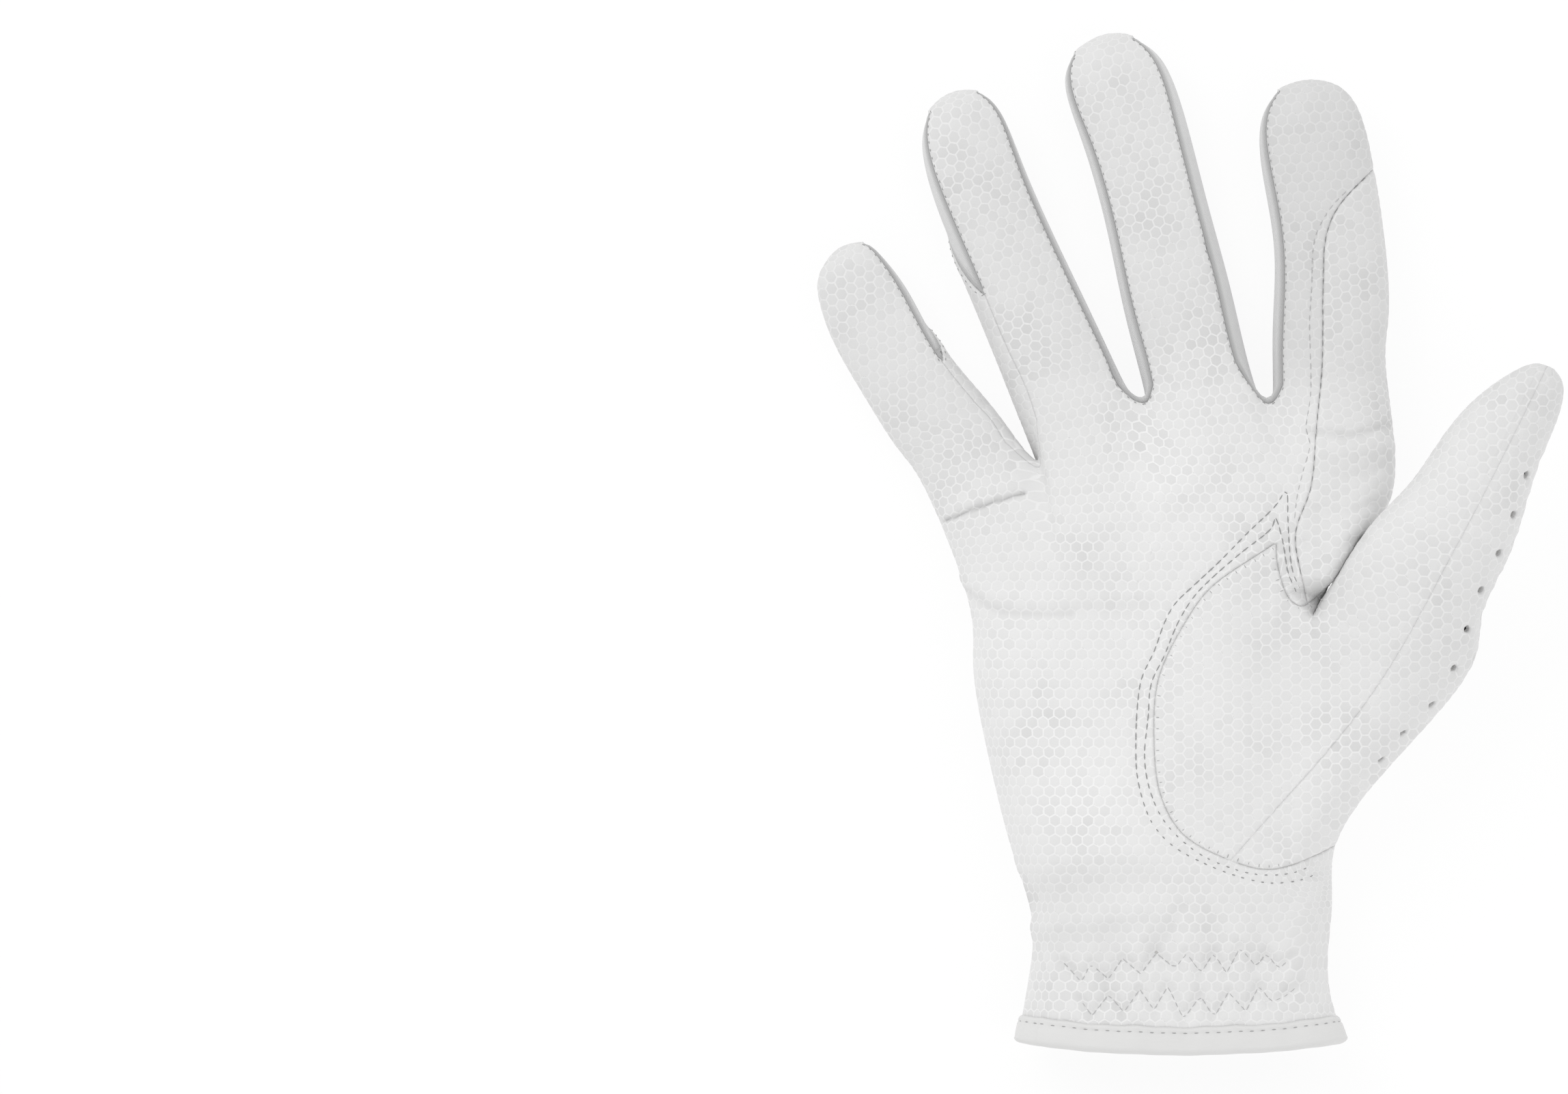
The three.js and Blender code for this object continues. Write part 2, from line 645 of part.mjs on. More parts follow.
// The part of the half-moon in the palm itself, left of a line from the quirk to the long seam's start.
function palmMoonCutter(grow) {
  const edge = shifted([...seamLine(HALF_MOON, 22), ...seamLine(QUIRK, 4).slice(1)], -grow);
  const start = seamLine(THUMB_SEAM, 8)[0];
  return cutter(edge.filter((p) => p.x < start.x - grow || p.y > start.y + 0.21 * palmLength), () => palmThickness * 0.4);
}

// The thumb's middle height at a place, from its sections.
function thumbMiddle(x, y) {
  const { out } = directions(THUMB.splay);
  const share = v3(x, y, 0).sub(rootOf(THUMB)).dot(out) / thumbLength;
  const rows = THUMB_ROWS;
  if (share <= rows[0].along) return rows[0].height * palmThickness;
  const i = rows.findIndex((r) => r.along >= share);
  if (i < 0) return rows.at(-1).height * palmThickness;
  const part = (share - rows[i - 1].along) / (rows[i].along - rows[i - 1].along);
  return mix(rows[i - 1].height, rows[i].height, part) * palmThickness;
}

// Everything of the thumb's front on the inner side of its long seam, grown by a distance.
function thumbFrontCutter(grow) {
  const seam = shifted(seamLine(THUMB_SEAM, 8), grow);
  const tip = seam.at(-1);
  const start = seam[0];
  const { out, side } = directions(THUMB.splay);
  const beyond = tip.clone().addScaledVector(out, 8);
  const inner = THUMB_ROWS.slice().reverse().map((row) =>
    thumbPlace(row).setZ(0).addScaledVector(side, -row.breadth * thumbBreadth));
  const belly = v3(-halfPalm, rootOf(THUMB).y, 0);
  return cutter([...seam, beyond, ...inner, belly, v3(-halfPalm, start.y, 0), v3(start.x, 0, 0)],
    (x, y) => thumbMiddle(x, y) - grow);
}

// The outer half of the index finger, from its curved seam outwards, grown by a distance.
function indexCutter(grow) {
  const seam = shifted(seamLine(INDEX_SEAM, 16), -grow);
  const start = seam[0];
  const end = seam.at(-1);
  return cutter([...seam, v3(FAR, end.y + 0.35 * (FAR - end.x), 0), v3(FAR, start.y, 0)]);
}

// Where the upper surface lies over a place, and which way it faces there, from its nearest points.
function surfaceOver(mesh, x, y) {
  const near = mesh.points
    .map((p, i) => ({ p, n: mesh.normals[i], d: Math.hypot(p.x - x, p.y - y) }))
    .filter(({ n }) => n.z > 0.15)
    .sort((a, b) => a.d - b.d)
    .slice(0, 4);
  const place = v3(0, 0, 0);
  const facing = v3(0, 0, 0);
  let sum = 0;
  for (const { p, n, d } of near) {
    const weight = 1 / (d + 0.1);
    place.addScaledVector(p, weight);
    facing.addScaledVector(n, weight);
    sum += weight;
  }
  return { place: v3(x, y, place.z / sum), facing: facing.normalize() };
}

function ventDrill(place, aim) {
  const drill = new THREE.CylinderGeometry(vent / 2, vent / 2, 6, 6);
  drill.applyQuaternion(new THREE.Quaternion().setFromUnitVectors(v3(0, 1, 0), aim));
  drill.translate(place.x, place.y, place.z);
  return solidOf(drill);
}

// Air holes over the thumb's outer side, in rows set half a pitch apart, and three more where the
// uppermost row runs on over the ball of the thumb.
function ventDrills(mesh) {
  const { out, side } = directions(THUMB.splay);
  const drills = [];
  const VENT_ROWS = [
    { angle: 34, start: 0.2, count: 6 },
    { angle: 4, start: 0.25, count: 6 },
    { angle: -28, start: 0.2, count: 6 },
  ];
  for (const { angle, start, count } of VENT_ROWS)
    for (let i = 0; i < count; i++) {
      const along = start + (i * ventPitch) / thumbLength;
      const next = THUMB_ROWS.findIndex((r) => r.along > along);
      const [a, b] = [THUMB_ROWS[next - 1], THUMB_ROWS[next]];
      const part = (along - a.along) / (b.along - a.along);
      const row = Object.fromEntries(Object.keys(a).map((key) => [key, mix(a[key], b[key], part)]));
      const turn = radians(angle);
      const place = thumbPoint(row, turn).setZ(thumbPoint(row, turn).z - restFlat);
      const aim = side.clone().multiplyScalar(Math.cos(turn) / row.breadth / thumbBreadth)
        .setZ(Math.sin(turn) / row.depth / thumbThickness).normalize();
      drills.push(ventDrill(place, aim));
    }
  for (const { x, y } of LOW_VENTS) {
    const { place, facing } = surfaceOver(mesh, x * halfPalm, y * palmLength);
    drills.push(ventDrill(place, facing));
  }
  return drills;
}

// The tape folded over the cuff's edge: a channel section that runs round the hem.
function bindingSolid(mesh) {
  const above = new Map();
  const edges = edgesOf(mesh.faces);
  const hem = new Set(mesh.cuff);
  for (const { a, b } of edges.values()) {
    if (hem.has(a) && !hem.has(b)) above.set(a, b);
    if (hem.has(b) && !hem.has(a)) above.set(b, a);
  }
  const far = bindingClearance + bindingTape;
  const lip = bindingHeight - far;
  const section = [
    [far, lip], [far, -far], [-wall - far, -far], [-wall - far, lip],
    [-wall - bindingClearance, lip], [-wall - bindingClearance, -bindingClearance],
    [bindingClearance, -bindingClearance], [bindingClearance, lip],
  ];
  const vertices = [];
  for (const i of mesh.cuff) {
    const p = mesh.points[i];
    const up = mesh.points[above.get(i)].clone().sub(p).normalize();
    for (const [o, h] of section) {
      const q = p.clone().addScaledVector(mesh.normals[i], o).addScaledVector(up, h);
      vertices.push(q.x, q.y, Math.max(0, q.z));
    }
  }
  const triangles = [];
  const n = section.length;
  const m = mesh.cuff.length;
  for (let i = 0; i < m; i++)
    for (let j = 0; j < n; j++) {
      const a = i * n + j;
      const b = i * n + ((j + 1) % n);
      const c = ((i + 1) % m) * n + ((j + 1) % n);
      const d = ((i + 1) % m) * n + j;
      triangles.push(a, b, c, a, c, d);
    }
  return solid(vertices, triangles);
}

function geometryOf(made) {
  const mesh = made.simplify(0.01).getMesh();
  const n = mesh.numProp;
  const positions = new Float32Array(mesh.numVert * 3);
  for (let i = 0; i < mesh.numVert; i++) positions.set(mesh.vertProperties.subarray(i * n, i * n + 3), i * 3);
  const geometry = new THREE.BufferGeometry();
  geometry.setAttribute("position", new THREE.BufferAttribute(positions, 3));
  geometry.setIndex(new THREE.BufferAttribute(mesh.triVerts, 1));
  geometry.computeVertexNormals();
  return geometry;
}

const leather = { color: 0xe9e9e9, roughness: 0.6, metalness: 0 };
const knit = { color: 0xc6c6c6, roughness: 0.85, metalness: 0 };
const tape = { color: 0xe4e4e4, roughness: 0.55, metalness: 0 };

function piece(name, made, finish) {
  const mesh = new THREE.Mesh(geometryOf(made), new THREE.MeshStandardMaterial(finish));
  mesh.name = name;
  return mesh;
}

const surface = buildSurface();
const halfGap = seamGap / 2;

const front = thicken(surface, ["front"]);
const palmWithIndex = front.subtract(moonCutter(halfGap));
const palm = palmWithIndex.subtract(indexCutter(halfGap));
const indexPanel = palmWithIndex.intersect(indexCutter(-halfGap));
const thumb = front.intersect(moonCutter(-halfGap)).add(thicken(surface, ["thumb"]));
const thumbFront = thumb.intersect(thumbFrontCutter(-halfGap).add(palmMoonCutter(0)));
let thumbBack = thumb.subtract(thumbFrontCutter(halfGap)).subtract(palmMoonCutter(halfGap));
for (const drill of ventDrills(surface)) thumbBack = thumbBack.subtract(drill);

const glove = new THREE.Group();
glove.add(
  piece("palm", palm, leather),
  piece("index_panel", indexPanel, leather),
  piece("thumb_front", thumbFront, leather),
  piece("thumb_back", thumbBack, leather),
  piece("hand_back", thicken(surface, ["back"]), leather),
  piece("gusset", thicken(surface, ["gusset"]), leather),
  piece("fourchette_little", thicken(surface, ["fourchette_little"]), knit),
  piece("fourchette_ring", thicken(surface, ["fourchette_ring"]), knit),
  piece("fourchette_ring_middle", thicken(surface, ["fourchette_ring_middle"]), knit),
  piece("fourchette_middle_index", thicken(surface, ["fourchette_middle_index"]), knit),
  piece("cuff_binding", bindingSolid(surface), tape),
);

// The origin is under the middle of the glove, on the table.
const box = new THREE.Box3().setFromObject(glove);
const middle = box.getCenter(v3(0, 0, 0));
glove.position.set(-middle.x, -middle.y, -box.min.z);

export default glove;
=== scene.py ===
"""A right-hand leather riding glove lying on its back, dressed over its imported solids.

The glove's smooth form is rebuilt from the same tables as the solids, in millimetres, in the glove's
own frame: X runs from the little finger to the thumb and Y from the cuff to the fingertips.
"""
import logging
import math
from dataclasses import dataclass, field
from enum import Enum
from typing import Sequence

import bpy
import numpy as np
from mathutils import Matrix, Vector
from mathutils.bvhtree import BVHTree
from mathutils.kdtree import KDTree


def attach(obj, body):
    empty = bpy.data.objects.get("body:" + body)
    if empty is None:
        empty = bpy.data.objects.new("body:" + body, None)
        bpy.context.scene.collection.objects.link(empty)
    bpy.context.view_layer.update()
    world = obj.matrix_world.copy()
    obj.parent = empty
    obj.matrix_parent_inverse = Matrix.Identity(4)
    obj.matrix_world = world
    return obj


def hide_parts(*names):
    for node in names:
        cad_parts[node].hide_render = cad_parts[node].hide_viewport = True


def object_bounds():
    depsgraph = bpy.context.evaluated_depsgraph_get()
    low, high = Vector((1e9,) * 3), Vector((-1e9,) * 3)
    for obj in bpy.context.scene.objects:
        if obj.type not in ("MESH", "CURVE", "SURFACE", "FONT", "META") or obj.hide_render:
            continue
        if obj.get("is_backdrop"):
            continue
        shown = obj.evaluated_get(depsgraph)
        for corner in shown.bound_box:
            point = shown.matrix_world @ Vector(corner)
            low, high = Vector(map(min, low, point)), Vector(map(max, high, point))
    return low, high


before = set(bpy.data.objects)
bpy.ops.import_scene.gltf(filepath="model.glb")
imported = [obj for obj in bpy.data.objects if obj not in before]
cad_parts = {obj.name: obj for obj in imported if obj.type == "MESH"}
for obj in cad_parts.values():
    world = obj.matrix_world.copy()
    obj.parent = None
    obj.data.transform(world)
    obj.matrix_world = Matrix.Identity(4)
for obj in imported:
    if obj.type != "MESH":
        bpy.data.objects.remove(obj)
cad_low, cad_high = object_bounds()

log = logging.getLogger("glove")
MM = 0.001
SHIFT = np.array([-0.10719, -112.223, 0.0])  # the glove's own frame to the row's frame, mm
PIXEL = 225 / 1495  # one pixel of the photograph at the glove, mm
Array, Socket = np.ndarray, bpy.types.NodeSocket
Material, Object = bpy.types.Material, bpy.types.Object

# ---------------------------------------------------------------- the glove's sizes, as in the solids
PALM_LENGTH, PALM_BREADTH, PALM_THICKNESS, HEM_BOW = 143.5, 92.0, 26.0, 2.4
HALF_PALM = PALM_BREADTH / 2
WALL, REST_FLAT = 1.2, 0.35
BINDING_HEIGHT, BINDING_TAPE, BINDING_CLEARANCE = 6.6, 0.9, 0.3
HEM_HEIGHT = BINDING_TAPE + BINDING_CLEARANCE
HEM_LIFT, GATHER_DEPTH, GATHER_PITCH = 1.65, 0.7, 11.0
VENT, VENT_PITCH = 1.3, 8.9
BACK_SEAM = 0.76
FAR = 200.0
COLUMNS, AROUND, THUMB_ROW = 15, 32, 3


def heading(splay: float) -> tuple[Array, Array]:
    """The directions out along a finger and across it towards the thumb, from its splay in degrees."""
    x, y = math.sin(math.radians(splay)), math.cos(math.radians(splay))
    return np.array([x, y, 0.0]), np.array([y, -x, 0.0])


@dataclass(frozen=True)
class Stall:
    """One finger of the glove: its root, size and sections, and how light its leather looks."""

    name: str
    length: float
    breadth: float
    thickness: float
    across: float
    root: float
    splay: float
    seam_left: float
    seam_right: float
    crotch_drop: float
    rows: tuple  # (along, drift, breadth, depth, rise, taper), as shares
    tone: float = 1.0

    @property
    def out(self) -> Array:
        """The direction from root to tip."""
        return heading(self.splay)[0]

    @property
    def side(self) -> Array:
        """The direction across, towards the thumb."""
        return heading(self.splay)[1]

    @property
    def base(self) -> Array:
        """The root's place on the table."""
        return np.array([self.across * HALF_PALM, self.root * PALM_LENGTH, 0.0])


STALLS = (
    Stall("little", 63.4, 22, 14, -0.941, 0.863, -32.1, 0.76, 0.8, 10, (
        (0.12, -0.03, 1.03, 1.12, 0, 0), (0.3, -0.06, 1, 1.02, 0, 0),
        (0.52, -0.1, 0.93, 0.97, 0.05, 0), (0.74, -0.07, 0.93, 0.93, 0.14, 0.05),
        (0.9, -0.03, 0.77, 0.8, 0.27, 0.35), (0.965, 0, 0.52, 0.54, 0.42, 0.75)), 0.945),
    Stall("ring", 80.2, 24, 15.5, -0.474, 0.959, -22.5, 0.74, 0.84, 4.4, (
        (0.08, -0.03, 1.04, 1.1, 0, 0), (0.28, -0.04, 1, 1.02, 0, 0),
        (0.5, -0.06, 0.96, 0.97, 0.04, 0), (0.72, -0.07, 0.94, 0.93, 0.13, 0.05),
        (0.89, -0.03, 0.85, 0.82, 0.25, 0.35), (0.97, 0, 0.53, 0.54, 0.4, 0.75)), 0.945),
    Stall("middle", 83.9, 25, 16, 0.096, 1.003, -15.9, 0.8, 0.72, 7, (
        (0.08, -0.035, 1.01, 1.1, 0, 0), (0.28, -0.01, 1.02, 1.02, 0, 0),
        (0.5, 0.02, 0.98, 0.97, 0.03, 0), (0.72, 0.03, 0.99, 0.93, 0.12, 0.05),
        (0.89, -0.005, 0.95, 0.82, 0.23, 0.35), (0.97, -0.025, 0.58, 0.54, 0.38, 0.75)), 0.945),
    Stall("index", 75.8, 25.5, 16, 0.696, 0.969, -4.2, 0.8, 0.76, 0, (
        (0.12, -0.015, 1.01, 1.1, 0, 0), (0.3, 0.035, 1.03, 1.02, 0, 0),
        (0.52, 0.07, 0.985, 0.97, 0.04, 0), (0.74, 0.015, 0.985, 0.93, 0.13, 0.05),
        (0.89, -0.015, 0.88, 0.82, 0.24, 0.35), (0.97, -0.01, 0.55, 0.54, 0.39, 0.75)), 0.87),
)
PALM_ROWS = (  # along, left, right, height, spread
    (0, -0.812, 0.745, 0.84, 0), (0.1, -0.765, 0.67, 0.82, 0), (0.22, -0.745, 0.69, 0.86, 0),
    (0.35, -0.84, 0.785, 0.95, 0.2), (0.52, -0.95, 0.83, 0.98, 0.5), (0.69, -1.025, 0.67, 0.95, 0.8),
    (0.82, -1.05, 0.965, 0.88, 1))
PADS = ((0.42, 0.5, 0.3, 0.1), (-0.66, 0.42, 0.26, 0.04), (-0.1, 0.68, 0.3, -0.09))
THUMB_LENGTH, THUMB_BREADTH, THUMB_THICKNESS = 84.7, 27, 20
THUMB_OUT, THUMB_SIDE = heading(29.6)
THUMB_BASE = np.array([0.789 * HALF_PALM, 0.542 * PALM_LENGTH, 0.0])
THUMB_ROWS = np.array([  # along, drift, breadth, depth, height
    (0.165, 0.085, 1.2, 1.25, 0.72), (0.354, -0.01, 1.13, 1.05, 0.93), (0.53, 0, 0.99, 0.97, 1.07),
    (0.728, -0.04, 0.8, 0.86, 1.16), (0.874, -0.013, 0.615, 0.7, 1.2), (0.966, 0.024, 0.37, 0.44, 1.21)])
HALF_MOON = ((0.86, 0.35), (0.69, 0.316), (0.39, 0.284), (0.198, 0.298), (-0.03, 0.338), (-0.14, 0.4),
             (-0.17, 0.493), (-0.145, 0.58), (0, 0.673), (0.107, 0.717), (0.417, 0.785))
QUIRK = ((0.417, 0.785), (0.420, 0.757), (0.435, 0.733), (0.461, 0.708), (0.498, 0.693),
         (0.541, 0.688), (0.604, 0.698), (0.676, 0.722))
THUMB_SEAM = ((0.198, 0.298), (0.85, 0.545), (1.28, 0.79), (1.69, 1.05))
INDEX_SEAM = ((0.6, 0.66), (0.53, 0.74), (0.51, 0.8), (0.583, 0.87), (0.612, 0.965), (0.64, 1.06),
              (0.645, 1.17), (0.66, 1.255), (0.72, 1.3), (0.93, 1.37))

WEB_FOLD = ((25, 93.2), (0.5145, 0.8575), (0.8575, -0.5145))  # where it starts, its two directions
WEB_GROUND = ((18, 113), (18.5, 101), (22, 96.5), (27, 96.5), (29.2, 99.5), (30.5, 103), (31, 112))
KNIT_ENDS = (((-54.1, 152.2), 1.3, 6.5), ((-44.2, 167.7), 1.9, 8))  # place, slant and reach down the side
VENT_WORN = VENT + 0.4  # the air holes have stretched a little
LOW_VENTS = ((1.157, 0.537), (1.026, 0.492), (0.915, 0.451))
VENT_ROWS = ((34, 0.2), (4, 0.25), (-28, 0.2))  # each row's turn round the thumb and where it starts
VENTS_A_ROW = 6
BEYOND = 99.0  # a distance that counts as out of an air hole's reach
# Lines of stitches over the palm, in millimetres
PALM_STITCH_OUTER = (
    (24.8, 101.6), (22.8, 106), (22, 112.1), (21.7, 118), (21.4, 124.2), (19.2, 120.9),
    (12.9, 114.8), (6.4, 108.2), (0.7, 102.9), (-3.1, 99.2), (-5.2, 95.6), (-7.8, 88.6), (-10.5, 82.8),
    (-11.5, 76), (-11.8, 68), (-11.5, 61.3), (-9.7, 54.3), (-7.8, 50.4), (-3.5, 45.9), (4.3, 41.7),
    (11.7, 39), (18.1, 37.8), (24.9, 38.5), (30, 40.6))
PALM_STITCH_INNER = (
    (23.7, 101.3), (21.7, 106), (20.9, 111), (20.3, 114), (19, 118.1), (18.3, 116),
    (11.7, 110.6), (5.3, 105.1), (1.1, 100.8), (-2.5, 95), (-5.6, 87.6), (-8.4, 81.7), (-9.1, 74.3),
    (-9.9, 65.5), (-8.8, 58.5), (-5.6, 51.5), (0.8, 45.2), (7.6, 41.7), (15.1, 39.7), (22.7, 40),
    (28, 42))
INDEX_RIDGE = (
    (35, 190.2), (31.8, 186.9), (29.6, 183.6), (27.9, 179.8), (27.3, 174.9), (27.2, 169.2),
    (26.7, 160.9), (26.9, 145.5), (26, 139.4), (25.8, 137.4), (26.7, 134.4), (25.1, 128.2),
    (23.7, 122.4), (23, 116))
ZIGZAG_UPPER = (
    (-27.6, 20.3), (-23.6, 16), (-21.6, 20), (-17.6, 16.6), (-14.6, 21.2), (-10.6, 17.8),
    (-7.2, 22.4), (-3.1, 19), (-0.5, 22.3), (2.6, 18), (5.4, 22.3), (8.3, 18), (11.2, 23.6),
    (14.9, 19.3), (17.1, 22.4), (19.7, 18.8), (22.8, 21.5))
ZIGZAG_LOWER = (
    (-23.7, 11.9), (-21.3, 8.6), (-17.6, 13.3), (-14.3, 9.4), (-10.8, 14.4), (-7.7, 9.9), (-4.6, 15.1),
    (-1.2, 7.9), (2.5, 13), (5.5, 8.3), (8.7, 13.8), (12.5, 9.6), (15.5, 15.2), (18.1, 11.6),
    (21.2, 12.8), (24.3, 15.3))


# ---------------------------------------------------------------- plain geometry
def arch(share: float, power: float) -> float:
    """Height of a superellipse of half-height 1 at a share of its half-breadth."""
    return max(0.0, 1 - abs(share) ** power) ** (1 / power)


def ease(value: Array, low: float, high: float) -> Array:
    """A smooth step from 0 at low to 1 at high."""
    t = np.clip((value - low) / (high - low), 0, 1)
    return t * t * (3 - 2 * t)


def smooth_line(points: Sequence, count: int) -> Array:
    """A centripetal Catmull-Rom line through points.

    Args:
        points: the line's knots, in millimetres.
        count: how many pieces it is cut into.

    Returns:
        count + 1 points along it.
    """
    knots = np.asarray(points, float)
    knots = np.vstack([2 * knots[0] - knots[1], knots, 2 * knots[-1] - knots[-2]])
    last = len(knots) - 3
    line = []
    for place in np.linspace(0, last, count + 1):
        i = min(int(place), last - 1)
        t = place - i
        p0, p1, p2, p3 = knots[i:i + 4]
        d0, d1, d2 = (max(np.sum((b - a) ** 2) ** 0.25, 1e-4) for a, b in ((p0, p1), (p1, p2), (p2, p3)))
        t1 = ((p1 - p0) / d0 - (p2 - p0) / (d0 + d1) + (p2 - p1) / d1) * d1
        t2 = ((p2 - p1) / d1 - (p3 - p1) / (d1 + d2) + (p3 - p2) / d2) * d1
        c2, c3 = -3 * p1 + 3 * p2 - 2 * t1 - t2, 2 * p1 - 2 * p2 + t1 + t2
        line.append(p1 + t1 * t + c2 * t * t + c3 * t ** 3)
    return np.array(line)


def lengths_along(line: Array) -> Array:
    """The length along a line at each of its points."""
    return np.concatenate([[0], np.cumsum(np.linalg.norm(np.diff(line, axis=0), axis=1))])


def grid(rows: Array, columns: Array) -> tuple[Array, Array]:
    """Every pair of a row and a column, as two flat lists."""
    first, second = np.meshgrid(rows, columns, indexing="ij")
    return first.ravel(), second.ravel()


def edge_keys(faces: Array, count: int) -> Array:
    """One number for each side of each face, the same in both directions, among count points."""
    a, b = faces, np.roll(faces, -1, 1)
    return np.minimum(a, b) * count + np.maximum(a, b)


def seam_line(table: Sequence, count: int) -> Array:
    """A seam's smooth line in millimetres, from its shares of the palm."""
    return smooth_line([(x * HALF_PALM, y * PALM_LENGTH) for x, y in table], count)


def line_distance(places: Array, line: Array) -> tuple[Array, Array]:
    """How far places are from a line, and how far along it.

    Args:
        places: points, N by 2.
        line: the line's points, M by 2.

    Returns:
        The distance of each place, and the length along the line at its nearest point.
    """
    start, step = line[:-1], np.diff(line, axis=0)
    size = np.maximum((step ** 2).sum(1), 1e-12)
    reach = np.concatenate([[0], np.cumsum(np.sqrt(size))])
    nearest, along = np.empty(len(places)), np.empty(len(places))
    for i in range(0, len(places), 8000):
        rel = places[i:i + 8000, None] - start
        t = np.clip((rel * step).sum(2) / size, 0, 1)
        gap = np.linalg.norm(rel - t[..., None] * step, axis=2)
        k = gap.argmin(1)
        row = np.arange(len(k))
        nearest[i:i + 8000] = gap[row, k]
        along[i:i + 8000] = reach[k] + t[row, k] * np.sqrt(size[k])
    return nearest, along


def inside_distance(places: Array, outline: Array) -> Array:
    """Signed distance to a closed outline, positive inside it.

    Args:
        places: points, N by 2.
        outline: the outline's corners.

    Returns:
        The distances, negative outside.
    """
    closed = np.vstack([outline, outline[:1]])
    distance, _ = line_distance(places, closed)
    inside = np.zeros(len(places), bool)
    x, y = places[:, 0], places[:, 1]
    for (x0, y0), (x1, y1) in zip(closed[:-1], closed[1:]):
        if y0 != y1:
            crosses = (y0 > y) != (y1 > y)
            inside ^= crosses & (x < (x1 - x0) * (y - y0) / (y1 - y0) + x0)
    return np.where(inside, distance, -distance)


def hex_border(u: Array, v: Array, pitch: float) -> Array:
    """Distance to the nearest border of a honeycomb whose cells touch along u, in millimetres.

    Args:
        u: the flat pattern's first coordinate.
        v: its second.
        pitch: from cell to cell.

    Returns:
        The distances.
    """
    x, y = u / pitch, v / (pitch * math.sqrt(3))

    def reach(a: Array, b: Array) -> Array:
        """The hexagonal distance from the nearest centre of one of the two lattices."""
        a, b = np.abs(a - np.round(a)), np.abs(b - np.round(b))
        return np.maximum(a, a / 2 + 1.5 * b)

    return (0.5 - np.minimum(reach(x, y), reach(x - 0.5, y - 0.5))) * pitch


@dataclass
class Patch:
    """A piece of surface in millimetres: points, normals, flat-pattern coordinates and faces."""

    points: Array
    normals: Array
    flat: Array
    faces: Array  # corners, four a row; a triangle repeats its last corner
    label: Array  # each face's panel number

    def keep(self, chosen: Array) -> "Patch":
        """The part of the patch whose faces are chosen, with unused points dropped.

        Args:
            chosen: which faces stay.

        Returns:
            The smaller patch.
        """
        faces = self.faces[chosen]
        used, place = np.unique(faces, return_inverse=True)
        return Patch(self.points[used], self.normals[used], self.flat[used], place.reshape(-1, 4),
                     self.label[chosen])

    def cut(self, value: Array, both: bool = False) -> "Patch":
        """Cuts the patch where value is zero.

        Args:
            value: a number for each point; faces stay where it is positive.
            both: keep the negative side too, with an edge along the cut.

        Returns:
            The patch on the positive side, or all of it with new edges.
        """
        data = np.hstack([self.points, self.normals, self.flat])
        value = np.where(np.abs(value) < 1e-6, 1e-6, value)
        signs = value[self.faces] > 0
        whole = signs.all(1) if not both else signs.all(1) | ~signs.any(1)
        mixed = np.nonzero(signs.any(1) & ~signs.all(1))[0]
        made: list[Array] = []
        known: dict[tuple[int, int], int] = {}

        def crossing(a: int, b: int) -> int:
            """The point where the edge from a to b meets the cut.

            Args:
                a: one end's number.
                b: the other's.

            Returns:
                The point's number.
            """
            key = (a, b) if a < b else (b, a)
            if key not in known:
                t = value[key[0]] / (value[key[0]] - value[key[1]])
                known[key] = len(data) + len(made)
                made.append(data[key[0]] * (1 - t) + data[key[1]] * t)
            return known[key]

        faces, labels = [], []
        for f in mixed:
            corners = list(dict.fromkeys(self.faces[f].tolist()))
            halves: tuple[list, list] = ([], [])
            for a, b in zip(corners, corners[1:] + corners[:1]):
                positive = value[a] > 0
                halves[0 if positive else 1].append(a)
                if positive != (value[b] > 0):
                    point = crossing(a, b)
                    halves[0].append(point)
                    halves[1].append(point)
            for ring in halves if both else halves[:1]:
                for i in range(1, len(ring) - 1):
                    faces.append((ring[0], ring[i], ring[i + 1], ring[i + 1]))
                    labels.append(self.label[f])
        if made:
            data = np.vstack([data, made])
        all_faces = np.vstack([self.faces[whole], np.array(faces, int).reshape(-1, 4)])
        all_labels = np.concatenate([self.label[whole], np.array(labels, int)])
        patch = Patch(data[:, :3], data[:, 3:6], data[:, 6:8], all_faces, all_labels)
        return patch.keep(np.ones(len(all_faces), bool))

    def weld(self) -> "Patch":
        """Joins points that lie in the same place.

        Returns:
            The same patch with fewer points.
        """
        _, first, place = np.unique(np.round(self.points, 4), axis=0, return_index=True, return_inverse=True)
        return Patch(self.points[first], self.normals[first], self.flat[first],
                     place.reshape(-1)[self.faces], self.label)

    def rim(self) -> Array:
        """The edges that belong to one face, as pairs of points in the face's order.

        Returns:
            The pairs.
        """
        a = self.faces.ravel()
        b = np.roll(self.faces, -1, 1).ravel()
        real = a != b
        a, b = a[real], b[real]
        count = len(self.points)
        _, index, counts = np.unique(np.minimum(a, b) * count + np.maximum(a, b), return_index=True,
                                     return_counts=True)
        lone = index[counts == 1]
        return np.stack([a[lone], b[lone]], 1)

    def loops(self) -> list[list[int]]:
        """The patch's edges as closed chains of points.

        Returns:
            The chains.
        """
        follow = {int(a): int(b) for a, b in self.rim()}
        chains = []
        while follow:
            start = next(iter(follow))
            chain, at = [start], follow.pop(start)
            while at != start and at in follow:
                chain.append(at)
                at = follow.pop(at)
            chains.append(chain)
        return chains

    def edge_distance(self, limit: float = 8.0) -> Array:
        """How far each point is from the patch's edge, up to a limit, in millimetres.

        Args:
            limit: the largest distance given.

        Returns:
            The distances.
        """
        rim = self.rim()
        tree = KDTree(len(rim))
        for i, (a, b) in enumerate(rim):
            tree.insert((self.points[a] + self.points[b]) / 2, i)
        tree.balance()
        near = np.array([[hit[1] for hit in tree.find_n(p, 3)] for p in self.points])
        start = self.points[rim[near, 0]]
        step = self.points[rim[near, 1]] - start
        rel = self.points[:, None] - start
        t = np.clip((rel * step).sum(2) / np.maximum((step ** 2).sum(2), 1e-12), 0, 1)
        return np.minimum(np.linalg.norm(rel - t[..., None] * step, axis=2).min(1), limit)

